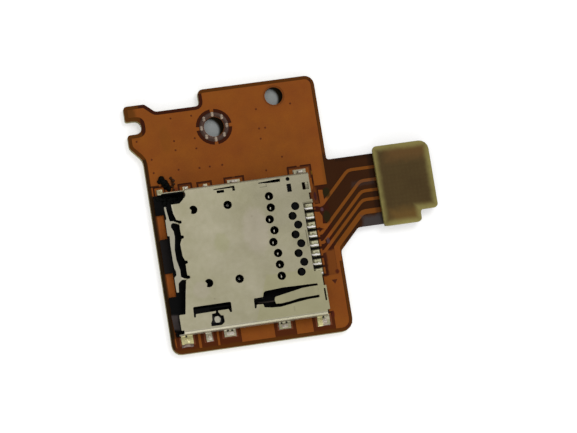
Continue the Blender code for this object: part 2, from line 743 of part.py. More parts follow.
def front_outline():
    """What the roof leaves open over the mouth: its broken and notched front edge, and all before it."""
    front = SOCKET_FRONT
    lobe_x = front + 1.58
    edge_x = front + 1.35
    points = [
        (front + 0.25, SOCKET_LOW - 1, 0),
        (front + 0.25, SOCKET_LOW + 0.40, 0.05),
        (front, SOCKET_LOW + 0.40, 0.05),
        (front, SOCKET_LOW + 1.87, 0.05),
        (front + 0.60, SOCKET_LOW + 1.87, 0.08),
        (front + 0.88, 5.24, 0.3),
        (front + 1.15, 6.70, 0.1),
    ]
    # The edge between one notch and the next
    steps = (
        ((front + 1.33, 7.65, 0.2),),
        ((front + 1.19, 9.00, 0.3), (front + 1.13, 10.20, 0.3)),
        ((front + 1.33, 11.60, 0.2),),
        ((front + 1.12, 12.54, 0.1), (front + 0.92, 13.20, 0.2)),
    )
    for y, step in zip(MOUTH_LOBES, steps):
        points += [
            (edge_x, y - 0.17, 0.03),
            (lobe_x, y - 0.13, 0.08),
            (lobe_x, y + 0.13, 0.08),
            (edge_x, y + 0.17, 0.03),
            *step,
        ]
    points += [
        (front + 0.85, 14.04, 0.05),
        (front + 1.65, 14.04, 0.1),
        (front + 2.05, 14.38, 0.1),
        (front + 2.28, 14.98, 0.1),
        (front + 2.50, SOCKET_HIGH + 1, 0),
        (front - 1, SOCKET_HIGH + 1, 0),
        (front - 1, SOCKET_LOW - 1, 0),
    ]
    return rounded(points)


def tongue_outline():
    """The pin's spring tongue in plan, wide at its root and blunt at its tip."""
    tip = TONGUE_TIP_X
    root = TONGUE_ROOT_X
    return rounded([
        (root + 0.35, 3.60, 0),
        (root + 0.35, 4.49, 0),
        (root - 0.80, 4.49, 0.4),
        (tip + 2.70, 4.44, 0.6),
        (tip + 1.20, 4.17, 0.6),
        (tip + 0.10, 3.98, 0.15),
        (tip, 3.70, 0.2),
        (tip + 0.08, 3.33, 0.08),
        (tip + 0.60, 3.29, 0.4),
        (tip + 1.50, 3.38, 0.6),
        (tip + 2.40, 3.54, 0.6),
    ])


def tongue_window():
    """The window that the spring tongue lies in, with the narrow mouth beyond its tip."""
    tip = TONGUE_TIP_X
    root = TONGUE_ROOT_X
    return rounded([
        (root, 3.34, 0.1),
        (root, 4.70, 0.1),
        (tip + 1.00, 4.76, 0.4),
        (tip - 0.90, 4.64, 0.3),
        (tip - 1.06, 4.12, 0.05),
        (tip - 1.95, 4.10, 0.12),
        (tip - 2.00, 3.15, 0.05),
        (tip - 1.84, 3.15, 0.05),
        (tip - 1.76, 3.48, 0.05),
        (tip - 1.14, 3.45, 0.05),
        (tip - 1.06, 3.12, 0.1),
        (tip - 0.30, 3.00, 0.3),
        (tip + 0.50, 2.96, 0.4),
        (tip + 2.05, 3.18, 0.5),
        (tip + 3.28, 3.32, 0.5),
    ])


def notched_loop(x, y, radius):
    """A round hole that a small point of the sheet reaches into from the card's side."""
    sides = 14
    first = math.radians(-128)
    last = math.radians(148)
    turns = [first + (last - first) * step / sides for step in range(sides + 1)]
    arc = [(x + radius * math.cos(turn), y + radius * math.sin(turn)) for turn in turns]
    return arc + [(x - 0.17, y - 0.04)]


def roof_openings():
    """The holes and slots in the roof, none touching another."""
    rear = SOCKET_REAR
    high = SOCKET_HIGH
    loops = []
    for index, (x, y, tail_y) in enumerate(contact_row()):
        loops.append(circle_loop(x, y, CONTACT_HOLE_RADIUS))
        loops.append(circle_loop(rear - REAR_HOLE_X[index % 2], tail_y + 0.02, REAR_HOLE_RADIUS))
    for x, y in ROUND_HOLES:
        loops.append(circle_loop(x, y, ROUND_HOLE_RADIUS))
    for x, y in NOTCHED_HOLES:
        loops.append(notched_loop(x, y, ROUND_HOLE_RADIUS))
    # Two windows and a small hole at the rear corner
    loops.append(box_loop(rear - 2.23, high - 1.69, rear - 1.80, high - 0.90, 0.06))
    loops.append(circle_loop(rear - 2.03, high - 0.43, 0.19))
    loops.append(box_loop(rear - 0.76, high - 1.66, rear - 0.14, high - 0.95, 0.06))
    # Wedge-shaped slot along the high edge
    loops.append(rounded([
        (10.34, high - 0.51, 0.03),
        (11.87, high - 0.60, 0.03),
        (12.43, high - 0.58, 0.03),
        (12.45, high - 0.31, 0.03),
        (12.22, high - 0.30, 0.03),
        (10.35, high - 0.42, 0.03),
    ]))
    # Slot over the card switch, with the small window below it
    loops.append(rounded([
        (6.08, high - 0.54, 0.03),
        (7.78, high - 0.54, 0.03),
        (7.80, high - 0.86, 0.03),
        (8.05, high - 0.83, 0.05),
        (8.02, high - 0.36, 0.03),
        (6.10, high - 0.44, 0.03),
    ]))
    loops.append(box_loop(6.28, high - 0.88, 6.99, high - 0.62, 0.05))
    # Slot and window over the lock leaf, joined by a narrow neck
    loops.append(rounded([
        (2.30, 3.10, 0.06),
        (2.48, 3.10, 0.06),
        (2.52, 3.40, 0.04),
        (4.43, 3.43, 0.02),
        (4.38, 3.24, 0.04),
        (4.02, 3.22, 0.04),
        (3.96, 2.62, 0.1),
        (3.80, 2.34, 0.05),
        (3.80, 2.05, 0.06),
        (4.80, 2.04, 0.3),
        (5.12, 2.30, 0.2),
        (5.08, 2.95, 0.08),
        (4.88, 2.95, 0.06),
        (4.66, 3.26, 0.03),
        (4.64, 3.44, 0.02),
        (5.66, 3.45, 0.04),
        (5.76, 3.13, 0.06),
        (5.94, 3.13, 0.06),
        (5.98, 4.12, 0.14),
        (2.34, 4.10, 0.14),
    ]))
    loops.append(tongue_window())
    # The rear edge is set back over the contacts' tails.
    last_tail_y = FIRST_TAIL_Y - (CONTACTS - 1) * TAIL_PITCH
    loops.append(box_loop(REAR_BLOCK_END - 0.02, last_tail_y - 0.10, rear + 1, FIRST_TAIL_Y + 0.15, 0.05))
    return loops


def make_lip():
    """The strip before the roof's front edge, sloping down over the mouth and held by two narrow bridges."""
    roof_z = SHELL_TOP - SHEET / 2
    x = SOCKET_FRONT
    path = side_path([
        (x + 2.0, roof_z, 0),
        (x + 1.20, roof_z, 0.3),
        (x + 0.75, roof_z - 0.05, 0.3),
        (x, roof_z - 0.20, 0),
    ], (LIP_LOW + LIP_HIGH) / 2)
    lip = ribbon("front_lip", path, (0, LIP_HIGH - LIP_LOW + 0.1, 0), SHEET * 0.8)
    first, second = LOW_BRIDGE
    third, fourth = HIGH_BRIDGE
    shape = rounded([
        # Towards the roof, from the low end up
        (x + 0.32, LIP_LOW, 0.05),
        (x + 0.36, 6.10, 0.1),
        (x + 0.42, 6.55, 0.2),
        (x + 0.79, second + 0.02, 0.1),
        (x + 1.45, first, 0),
        (x + 1.45, second, 0),
        (x + 1.00, second + 0.12, 0.1),
        (x + 0.73, second + 0.30, 0.1),
        (x + 0.75, 7.75, 0.3),
        (x + 0.55, 8.80, 0.5),
        (x + 0.54, 9.75, 0.5),
        (x + 0.73, 10.90, 0.2),
        (x + 0.71, 11.50, 0.2),
        (x + 0.52, 11.90, 0.15),
        (x + 0.56, 12.18, 0.1),
        (x + 0.75, 12.30, 0.08),
        (x + 1.05, third + 0.20, 0.1),
        (x + 1.42, third, 0),
        (x + 1.42, fourth, 0),
        (x + 1.05, fourth + 0.20, 0.1),
        (x + 0.80, 12.46, 0.1),
        (x + 0.49, 12.50, 0.08),
        (x + 0.37, 13.40, 0.2),
        (x + 0.32, LIP_HIGH, 0.05),
        # Towards the mouth, from the high end down
        (x + 0.16, LIP_HIGH, 0.05),
        (x + 0.24, 12.78, 0.1),
        (x + 0.11, 12.66, 0.05),
        (x + 0.09, 11.16, 0.05),
        (x + 0.28, 11.10, 0.05),
        (x + 0.22, 10.30, 0.2),
        (x + 0.22, 8.80, 0.3),
        (x + 0.25, 8.00, 0.2),
        (x + 0.36, 7.68, 0.1),
        (x + 0.34, 7.34, 0.1),
        (x + 0.12, 7.12, 0.05),
        (x + 0.11, LIP_LOW + 0.04, 0.05),
    ])
    outline = plate("lip_outline", [shape], FLOOR_TOP, SHELL_TOP + 1)
    boolean(lip, outline, "INTERSECT")
    return lip


def make_shell():
    """The drawn and folded cover in one piece: roof, walls, solder feet, rear flaps and spring tongue."""
    length = SOCKET_LENGTH + 0.15
    middle = SOCKET_REAR - length / 2
    section = [(middle, y, z) for y, z in hat_section()]
    shell = ribbon("shell_sheet", section, (length, 0, 0), SHEET)
    mouth = plate("mouth", [front_outline()], FLOOR_TOP + 0.2, SHELL_TOP + 1)
    openings = plate("roof_cuts", roof_openings(), SHELL_UNDER - 0.12, SHELL_TOP + 1)
    cut(shell, mouth, openings)
    lift = SEAT + WALL_LIFT
    walls = ((LOW_FEET, SOCKET_LOW, -1, FOOT_REACH), (HIGH_FEET, SOCKET_HIGH, 1, FOOT_REACH))
    for feet, wall_y, outward, reach in walls:
        far = wall_y + outward * (reach + 0.3)
        near = wall_y - outward * (SHEET + 0.05)
        ys = sorted((far, near))
        starts = [SOCKET_FRONT - 1] + [end for _, end, _ in feet]
        ends = [start for start, _, _ in feet] + [SOCKET_REAR + 1]
        for start, end in zip(starts, ends):
            if end - start > 0.01:
                cut(shell, box("foot_gap", start, ys[0], SEAT - 0.1, end, ys[1], lift))
        for start, end, foot_reach in feet:
            tip = sorted((wall_y + outward * foot_reach, far))
            cut(shell, box("foot_tip", start - 0.05, tip[0], SEAT - 0.1, end + 0.05, tip[1], lift - 0.03))
    roof_z = SHELL_TOP - SHEET / 2
    for low_y, high_y in REAR_FLAPS:
        corners = [
            (SOCKET_REAR - 0.45, roof_z, 0), (SOCKET_REAR - SHEET * 0.4, roof_z, SHEET_BEND * 0.6),
            (SOCKET_REAR - SHEET * 0.4, FLOOR_TOP, 0),
        ]
        path = side_path(corners, (low_y + high_y) / 2)
        flap = ribbon("rear_flap", path, (0, high_y - low_y, 0), SHEET * 0.8)
        join(shell, flap)
    tongue_path = side_path([
        (TONGUE_ROOT_X + 0.3, roof_z, 0), (TONGUE_ROOT_X - 0.4, roof_z, 0.6),
        (TONGUE_TIP_X + 1.0, SLIDER_TOP + FIT_GAP + SHEET * 0.4, 0.6),
        (TONGUE_TIP_X - 0.1, SLIDER_TOP + FIT_GAP + SHEET * 0.4, 0),
    ], 4.0)
    tongue = ribbon("pin_tongue", tongue_path, (0, 1.6, 0), SHEET * 0.8)
    boolean(tongue, plate("tongue_plan", [tongue_outline()], FLOOR_TOP, SHELL_TOP + 1), "INTERSECT")
    join(shell, tongue, make_lip())
    # Narrow slot in the bend behind the tongue
    start, end = REAR_SLOT_Y
    slot = box_loop(SOCKET_REAR - REAR_SLOT_FAR, start, SOCKET_REAR - REAR_SLOT_NEAR, end, 0.05)
    cut(shell, plate("rear_slot", [slot], SHELL_UNDER - 0.12, SHELL_TOP + 1))
    for low_y, high_y in REAR_STEPS:
        edge = box_loop(SOCKET_REAR - REAR_STEP, low_y, SOCKET_REAR + 1, high_y)
        cut(shell, plate("rear_step", [edge], FLOOR_TOP, SHELL_TOP + 1))
    return finish(shell, "shell", "stainless")


def housing_floor():
    """The housing's floor in plan, with the steps at the mouth that show the board between them."""
    front = SOCKET_FRONT
    x_far = front - 0.60
    x_near = front + 0.15
    x_wall = front - 0.05
    low = SOCKET_LOW + SHEET + FIT_GAP
    high = SOCKET_HIGH - SHEET - FIT_GAP
    return rounded([
        (x_far + 0.2, low - 0.2, 0.08), (x_wall, low - 0.2, 0), (x_wall, low, 0), (REAR_BLOCK_END, low, 0),
        (REAR_BLOCK_END, high, 0), (x_near, high, 0), (x_far, high, 0.08), (x_far, 13.35, 0.08),
        (x_near, 13.35, 0.05), (x_near, 11.00, 0.05), (x_far, 11.00, 0.08), (x_far, 7.75, 0.08),
        (x_near, 7.75, 0.05), (x_near, 5.45, 0.05),
        (x_far, 5.45, 0.08), (x_far, 3.60, 0.05), (x_far + 0.1, 2.10, 0.05), (x_far + 0.2, 2.10, 0.05),
    ])


def contact_path(bump_x, bump_y, tail_y):
    """A contact from its solder tail, through the rear block, to the bump that the card rides on."""
    tail_z = SEAT + CONTACT_THICKNESS / 2
    beam_z = FLOOR_TOP + BEAM_HEIGHT
    bump_z = FLOOR_TOP + BUMP_HEIGHT
    profile = rounded([
        (SOCKET_REAR + 0.10, tail_z, 0),
        (REAR_BLOCK_END + 0.34, tail_z, 0.10),
        (REAR_BLOCK_END + 0.12, beam_z, 0.10),
        (REAR_BLOCK_X - 0.10, beam_z, 0.2),
        (bump_x + 0.22, bump_z - 0.08, 0.12),
        (bump_x, bump_z, 0.10),
        (bump_x - 0.30, bump_z - 0.26, 0),
    ], closed=False)
    jog_end = REAR_BLOCK_END - 0.30
    jog_start = REAR_BLOCK_X - 0.30
    # The sideways jog runs at one slope between two stations, which get points of their own.
    stations = sorted({round(x, 4) for x, _ in profile} | {jog_start, jog_end}, reverse=True)
    path = []
    for x in stations:
        share = min(1, max(0, (jog_end - x) / (jog_end - jog_start)))
        path.append((x, tail_y + (bump_y - tail_y) * share, height_at(profile, x)))
    return path


def height_at(profile, x):
    for (x1, z1), (x0, z0) in zip(profile, profile[1:]):
        if x0 - 1e-6 <= x <= x1 + 1e-6:
            return z0 if x1 - x0 < 1e-9 else z0 + (z1 - z0) * (x - x0) / (x1 - x0)
    return profile[-1][1]


def make_contacts():
    for index, (bump_x, bump_y, tail_y) in enumerate(contact_row()):
        path = contact_path(bump_x, bump_y, tail_y)
        contact = ribbon("contact_leaf", path, (0, CONTACT_WIDTH, 0), CONTACT_THICKNESS)
        finish(contact, f"contact_{index + 1}", "gold")


def switch_plane():
    """Where the switch's leaves stand, just inside the shell's high wall."""
    return SOCKET_HIGH - SHEET - 0.06


def make_housing():
    """The moulded base: floor, rails, slider bay, rear block with contact tunnels, and switch pocket."""
    low = SOCKET_LOW + SHEET + FIT_GAP
    high = SOCKET_HIGH - SHEET - FIT_GAP
    top = SHELL_UNDER - FIT_GAP
    housing = plate("floor", [housing_floor()], SEAT, FLOOR_TOP)
    inner_low = low + HOUSING_WALL
    bay_front = SLIDER_FRONT - 0.10
    arm_room = SLIDER_HIGH + SLIDER_ARM_REACH + 0.10
    # One moulded wall: the low rail, the bay's front stop, the rear block and the high rail.
    walls = rounded([
        (SOCKET_FRONT + 0.30, low, 0), (REAR_BLOCK_END, low, 0),
        (REAR_BLOCK_END, high, 0), (SOCKET_FRONT + 0.15, high, 0),
        (SOCKET_FRONT + 0.15, CARD_HIGH_Y + 0.10, 0.05), (SOCKET_FRONT + 0.60, CARD_HIGH_Y, 0.1),
        (REAR_BLOCK_X, CARD_HIGH_Y, 0), (REAR_BLOCK_X, arm_room, 0.05),
        (BAY_REAR, arm_room, 0.05), (BAY_REAR, inner_low, 0),
        (bay_front, inner_low, 0), (bay_front, SLIDER_HIGH, 0.05),
        (bay_front - 0.55, SLIDER_HIGH, 0.05), (SOCKET_FRONT + 0.30, SLIDER_HIGH - 1.20, 0.1),
    ])
    # The side walls stop below the shell's bend, and the rear block reaches up to its roof.
    wall_top = SHELL_UNDER - (SHEET_BEND - SHEET / 2) - FIT_GAP
    join(housing, plate("walls", [walls], FLOOR_TOP - 0.05, wall_top))
    crown = box_loop(REAR_BLOCK_X + 0.02, arm_room + 0.05, REAR_BLOCK_END - 0.05, CARD_HIGH_Y - 0.05, 0.05)
    join(housing, plate("rear_crown", [crown], wall_top - 0.05, top))
    # Room over the rear block for the pin and the tongue that holds it
    pin_low = LANE_Y - LANE_SPREAD * 0.5
    cut(housing, box("pin_room", BAY_REAR - 0.2, pin_low - 0.3, TRACK_WALL_TOP, REAR_BLOCK_END + 0.1,
                     arm_room - 0.9, SHELL_TOP))
    cut(housing, plate("pin_bore", [circle_loop(PIN_PIVOT_X, LANE_Y, PIN_WIRE / 2 + FIT_GAP, 12)],
                       FLOOR_TOP + 0.22, SHELL_TOP))
    for bump_x, bump_y, tail_y in contact_row():
        path = contact_path(bump_x, bump_y, tail_y)
        width = CONTACT_WIDTH + 2 * FIT_GAP
        tunnel = ribbon("contact_tunnel", path, (0, width, 0), CONTACT_THICKNESS + 2 * FIT_GAP)
        cut(housing, tunnel)
        window = box_loop(bump_x - 0.45, bump_y - 0.34, REAR_BLOCK_X - 0.45, bump_y + 0.34)
        cut(housing, plate("contact_window", [window], SEAT - 0.1, FLOOR_TOP + 0.1))
    # Pocket in the high rail and slots in the floor's edge for the switch
    cut(housing, box("switch_pocket", ARM_FOOT[0] - 0.15, CARD_HIGH_Y - 0.05, FLOOR_TOP + 0.02,
                     8.45, high + 0.1, SHELL_TOP))
    for x0, x1 in (ARM_FOOT, STOP_FOOT):
        cut(housing, box("switch_slot", x0 - 0.05, CARD_HIGH_Y - 0.12, SEAT - 0.1,
                         x1 + 0.05, high + 0.1, SHELL_TOP))
    return finish(housing, "housing", "black_plastic")


def make_switch():
    """The card switch: a sprung arm in the card's way and the fixed leaf that it is pushed against."""
    thickness = 0.08
    foot_z = SEAT + thickness / 2
    plane = switch_plane()
    leaf_z = FLOOR_TOP + 0.45
    leaves = (("detect_switch_arm", ARM_FOOT, plane - 0.04), ("detect_switch_stop", STOP_FOOT, plane))
    for name, (x0, x1), y in leaves:
        middle = (x0 + x1) / 2
        corners = [(SOCKET_HIGH + 0.38, foot_z, 0), (y, foot_z, 0.06), (y, leaf_z + 0.18, 0)]
        foot = [(middle, across_y, z) for across_y, z in rounded(corners, closed=False)]
        leaf = ribbon(name, foot, (x1 - x0, 0, 0), thickness)
        if name.endswith("arm"):
            bend = [
                (middle, y, 0),
                (5.0, plane - 0.16, 0.5),
                (8.05, CARD_HIGH_Y - 0.22, 0.1),
                (8.20, CARD_HIGH_Y - 0.06, 0),
            ]
        else:
            bend = [(middle, y, 0), (7.60, y, 0)]
        path = [(x, along_y, leaf_z) for x, along_y in rounded(bend, closed=False)]
        blade = ribbon("switch_blade", path, (0, 0, 0.30), thickness * 0.75)
        join(leaf, blade)
        finish(leaf, name, "gold")


def track_outline():
    """The pin's closed track: a straight lane in, a lane back beside the island, and a pocket at each end."""
    reach = LANE_WIDTH / 2
    start_x = PIN_TIP_X + reach + 0.10
    end_x = PIN_TIP_X - SLIDER_TRAVEL - reach - 0.10
    high = LANE_Y + reach
    low = LANE_Y - LANE_SPREAD - reach
    return rounded([(end_x, low, 0.10), (start_x, low, 0.10), (start_x, high, 0.10), (end_x, high, 0.10)])


def island_outline():
    """The heart-shaped island between the lanes, notched at the end where the pin rests when locked."""
    reach = LANE_WIDTH / 2
    high = LANE_Y - reach - 0.02
    low = LANE_Y - LANE_SPREAD + reach + 0.02
    middle = (high + low) / 2
    notch_x = PIN_TIP_X - SLIDER_LOCKED + reach
    tail_x = PIN_TIP_X - LANE_WIDTH * 2.2
    return rounded([
        (notch_x + 0.06, middle, 0.04), (notch_x - 0.06, low, 0.03), (tail_x - 0.7, low, 0.2),
        (tail_x, middle + 0.05, 0.03), (tail_x - 0.3, high, 0.05), (notch_x - 0.06, high, 0.03),
    ])


def make_slider():
    """The carriage that the card pushes, with its spring channel, heart track and card arm."""
    arm_x = SLIDER_END - SLIDER_ARM_WIDTH
    arm_y = SLIDER_HIGH + SLIDER_ARM_REACH
    plan = rounded([
        (SLIDER_FRONT, SLIDER_LOW, 0.12), (SLIDER_END, SLIDER_LOW, 0.06), (SLIDER_END, arm_y, 0.10),
        (arm_x + 0.25, arm_y, 0.10), (arm_x, arm_y - 0.35, 0.10), (arm_x, SLIDER_HIGH, 0.06),
        (SLIDER_FRONT, SLIDER_HIGH, 0.12),
    ])
    slider = plate("carriage", [plan], SLIDER_BOTTOM, SLIDER_TOP)
    channel_low = SPRING_Y - CHANNEL_WIDTH / 2
    channel_high = SPRING_Y + CHANNEL_WIDTH / 2
    channel_floor = SLIDER_BOTTOM + SPRING_CHANNEL_FLOOR
    channel = box("spring_channel", SPRING_SEAT_X - FIT_GAP, channel_low, channel_floor,
                  SLIDER_END + 0.1, channel_high, SHELL_TOP)
    track_end = PIN_TIP_X - SLIDER_TRAVEL - 0.35
    lowered = box("track_step", track_end, channel_high + 0.06, TRACK_WALL_TOP, SLIDER_END + 0.1,
                  SLIDER_HIGH + 0.02, SHELL_TOP)
    track = plate("heart_track", [track_outline(), island_outline()], TRACK_FLOOR, SHELL_TOP)
    lock_side = LOCK_WIDTH / 2 + 2 * FIT_GAP
    lock_seat = box("lock_seat", SLIDER_FRONT + 0.15, LOCK_Y - lock_side, SLIDER_TOP - LOCK_DEPTH,
                    SPRING_SEAT_X - 0.45, LOCK_Y + lock_side, SHELL_TOP)
    cut(slider, channel, lowered, track, lock_seat)
    finish(slider, "slider", "black_plastic")
    move_origin(slider, (SLIDER_FRONT, LANE_Y, SLIDER_BOTTOM))


def make_card_lock():
    """The leaf on the slider that springs up between the shell's legs and holds the card's side notch."""
    seat = SLIDER_TOP - LOCK_DEPTH + FIT_GAP
    thickness = 0.10
    low = seat + thickness / 2
    high = SLIDER_TOP + 0.03
    path = side_path([
        (SLIDER_FRONT + 0.25, low, 0),
        (SLIDER_FRONT + 1.45, low, 0.3),
        (SLIDER_FRONT + 1.95, high - thickness / 2, 0.12),
        (SLIDER_FRONT + 2.35, high - thickness / 2, 0.12),
        (SLIDER_FRONT + 2.68, low, 0),
    ], LOCK_Y)
    leaf = ribbon("lock_leaf", path, (0, LOCK_WIDTH, 0), thickness)
    finish(leaf, "card_lock_spring", "stainless")
    move_origin(leaf, (SLIDER_FRONT, LOCK_Y, seat))


def make_eject_spring():
    """The compression spring in the slider's channel, between the slider and the bay's rear wall."""
    per_turn = 10
    radius = (SPRING_OUTER - SPRING_WIRE) / 2
    start = SPRING_SEAT_X + SPRING_WIRE / 2 + FIT_GAP
    end = BAY_REAR - SPRING_WIRE / 2 - FIT_GAP
    closed_turns = 1.0
    steps = SPRING_TURNS * per_turn
    path = []
    for step in range(steps + 1):
        turns = step / per_turn
        # The first and last turn lie nearly flat against their seats.
        open_turns = min(max(turns - closed_turns, 0), SPRING_TURNS - 2 * closed_turns)
        flat = min(turns, closed_turns) + max(0, turns - (SPRING_TURNS - closed_turns))
        coil_pitch = (end - start - 2 * closed_turns * SPRING_WIRE * 1.15) / (SPRING_TURNS - 2 * closed_turns)
        x = start + flat * SPRING_WIRE * 1.15 + open_turns * coil_pitch
        angle = 2 * math.pi * turns
        path.append((x, SPRING_Y + radius * math.cos(angle), SPRING_Z + radius * math.sin(angle)))
    spring = wire("coil", path, SPRING_WIRE, resolution=1)
    finish(spring, "eject_spring", "steel_wire")
    move_origin(spring, (BAY_REAR, SPRING_Y, SPRING_Z))


def make_guide_pin():
    """The bent wire that turns in the rear block and whose tip runs in the slider's heart track."""
    bottom = FLOOR_TOP + 0.26
    tip_z = TRACK_FLOOR + 2 * FIT_GAP
    bend = PIN_WIRE * 0.8
    path = side_path([
        (PIN_PIVOT_X, bottom, 0),
        (PIN_PIVOT_X, PIN_LEVEL, bend),
        (PIN_TIP_X, PIN_LEVEL, bend),
        (PIN_TIP_X, tip_z, 0),
    ], LANE_Y)
    pin = wire("pin", path, PIN_WIRE)
    finish(pin, "guide_pin", "steel_wire")
    move_origin(pin, (PIN_PIVOT_X, LANE_Y, PIN_LEVEL))


make_flex_board()
make_stiffeners()
make_plug()
make_housing()
make_contacts()
make_switch()
make_slider()
make_card_lock()
make_eject_spring()
make_guide_pin()
make_shell()
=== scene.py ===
import math

import bmesh
import bpy
from mathutils import Matrix, Vector, noise
from mathutils.bvhtree import BVHTree


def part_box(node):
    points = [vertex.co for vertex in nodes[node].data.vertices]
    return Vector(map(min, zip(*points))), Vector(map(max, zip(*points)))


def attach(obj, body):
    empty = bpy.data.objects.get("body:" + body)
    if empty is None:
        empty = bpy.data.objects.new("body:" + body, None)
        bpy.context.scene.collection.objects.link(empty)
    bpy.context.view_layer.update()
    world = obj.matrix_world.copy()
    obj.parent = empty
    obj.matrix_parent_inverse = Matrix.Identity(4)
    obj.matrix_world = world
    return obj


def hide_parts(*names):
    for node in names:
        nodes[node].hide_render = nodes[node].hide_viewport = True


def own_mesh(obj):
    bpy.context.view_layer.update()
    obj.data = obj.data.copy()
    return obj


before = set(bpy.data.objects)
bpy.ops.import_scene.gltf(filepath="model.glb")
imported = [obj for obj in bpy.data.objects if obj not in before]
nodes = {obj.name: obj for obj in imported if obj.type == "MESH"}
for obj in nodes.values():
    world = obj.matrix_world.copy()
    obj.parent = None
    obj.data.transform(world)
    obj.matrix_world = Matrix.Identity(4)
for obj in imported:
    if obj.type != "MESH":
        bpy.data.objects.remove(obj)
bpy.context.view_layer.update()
mm = 0.001

# Board places are millimetres from the board's lower left corner, as in the part's source.
boardWidth = 17.40
stiffenerLow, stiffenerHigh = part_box("board_stiffener")
boardCorner = Vector((stiffenerHigh.x - boardWidth * mm, stiffenerLow.y, 0))
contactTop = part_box("contact_8")[1].z / mm
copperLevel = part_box("flex_board")[1].z / mm
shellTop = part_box("shell")[1].z / mm
board = "socket_board"


def place(x, y, z):
    return boardCorner + Vector((x, y, z)) * mm


def srgb(code):
    # A web colour as the linear numbers that a shader takes.
    parts = [int(code[i:i + 2], 16) / 255 for i in (0, 2, 4)]
    linear = [c / 12.92 if c <= 0.04045 else ((c + 0.055) / 1.055) ** 2.4 for c in parts]
    return (*linear, 1.0)


# Node helpers

def addNode(tree, kind, inputs=None, **settings):
    node = tree.nodes.new(kind)
    for key, value in settings.items():
        setattr(node, key, value)
    for key, value in (inputs or {}).items():
        socket = node.inputs[key]
        if isinstance(value, bpy.types.NodeSocket):
            tree.links.new(value, socket)
        else:
            socket.default_value = value
    return node


def math2(tree, operation, first, second=0.0):
    return addNode(tree, "ShaderNodeMath", {0: first, 1: second}, operation=operation).outputs[0]


def blendColour(tree, factor, first, second):
    inputs = {0: factor, 6: first, 7: second}
    return addNode(tree, "ShaderNodeMix", inputs, data_type="RGBA").outputs[2]


def ramp(tree, value, low, high, smooth=True):
    # Rises from none at low to one at high, or falls where low is the larger.
    kind = "SMOOTHSTEP" if smooth else "LINEAR"
    inputs = {0: value, 1: low, 2: high, 3: 0.0, 4: 1.0}
    return addNode(tree, "ShaderNodeMapRange", inputs, interpolation_type=kind).outputs[0]


def fold(tree, operation, values):
    # Several values joined into one, two at a time.
    total = values[0]
    for value in values[1:]:
        total = math2(tree, operation, total, value)
    return total


def noiseValue(tree, where, scale, detail, roughness=0.5):
    inputs = {"Vector": where, "Scale": scale, "Detail": detail, "Roughness": roughness}
    return addNode(tree, "ShaderNodeTexNoise", inputs).outputs[0]


def vectorMath(tree, operation, first, second):
    return addNode(tree, "ShaderNodeVectorMath", {0: first, 1: second}, operation=operation)


def splitAxes(tree, where):
    return addNode(tree, "ShaderNodeSeparateXYZ", {0: where}).outputs


def boardPlace(tree):
    # Object coordinates become board millimetres.
    coordinates = tree.nodes.new("ShaderNodeTexCoord").outputs["Object"]
    inputs = {"Vector": coordinates, "Location": -boardCorner / mm, "Scale": (1 / mm,) * 3}
    return addNode(tree, "ShaderNodeMapping", inputs).outputs[0]


def newGroup(name, inputs, result):
    # A node group with a place, some settings and one number as its result.
    tree = bpy.data.node_groups.new(name, "ShaderNodeTree")
    tree.interface.new_socket(name="Place", in_out="INPUT", socket_type="NodeSocketVector")
    for label, value in inputs.items():
        kind = "NodeSocketVector" if isinstance(value, tuple) else "NodeSocketFloat"
        socket = tree.interface.new_socket(name=label, in_out="INPUT", socket_type=kind)
        socket.default_value = value
    tree.interface.new_socket(name=result, in_out="OUTPUT", socket_type="NodeSocketFloat")
    source = tree.nodes.new("NodeGroupInput").outputs
    sink = tree.nodes.new("NodeGroupOutput").inputs[result]
    return tree, source, sink


def makeMottleGroup():
    # Broad clouds and fine grain in one mask, for film, sheet and plastic that isn't quite even.
    tree, source, sink = newGroup("mottle", {"Broad": 0.5, "Fine": 8.0, "Share": 0.35}, "Mask")
    broad = noiseValue(tree, source["Place"], source["Broad"], 3.0, 0.55)
    fine = noiseValue(tree, source["Place"], source["Fine"], 4.0, 0.65)
    mix = addNode(tree, "ShaderNodeMix", {0: source["Share"], 2: broad, 3: fine})
    tree.links.new(ramp(tree, mix.outputs[0], 0.3, 0.7, False), sink)
    return tree


def makePatchGroup():
    # A soft-edged rectangle on the board, its edge made uneven by noise.
    sides = {"Low X": 0.0, "Low Y": 0.0, "High X": 1.0, "High Y": 1.0}
    tree, source, sink = newGroup("patch", {**sides, "Edge": 0.2, "Wander": 0.1}, "Mask")
    wobble = noiseValue(tree, source["Place"], 1.6, 3.0)
    centred = math2(tree, "MULTIPLY", math2(tree, "SUBTRACT", wobble, 0.5), source["Wander"])
    parts = splitAxes(tree, source["Place"])
    inside = []
    for axis, low, high in ((0, "Low X", "High X"), (1, "Low Y", "High Y")):
        fromLow = math2(tree, "SUBTRACT", parts[axis], source[low])
        fromHigh = math2(tree, "SUBTRACT", source[high], parts[axis])
        inside.append(math2(tree, "MINIMUM", fromLow, fromHigh))
    nearest = fold(tree, "MINIMUM", inside)
    reach = math2(tree, "ADD", nearest, math2(tree, "MULTIPLY", centred, 4.0))
    share = math2(tree, "DIVIDE", reach, source["Edge"])
    tree.links.new(ramp(tree, share, -0.5, 0.5), sink)
    return tree


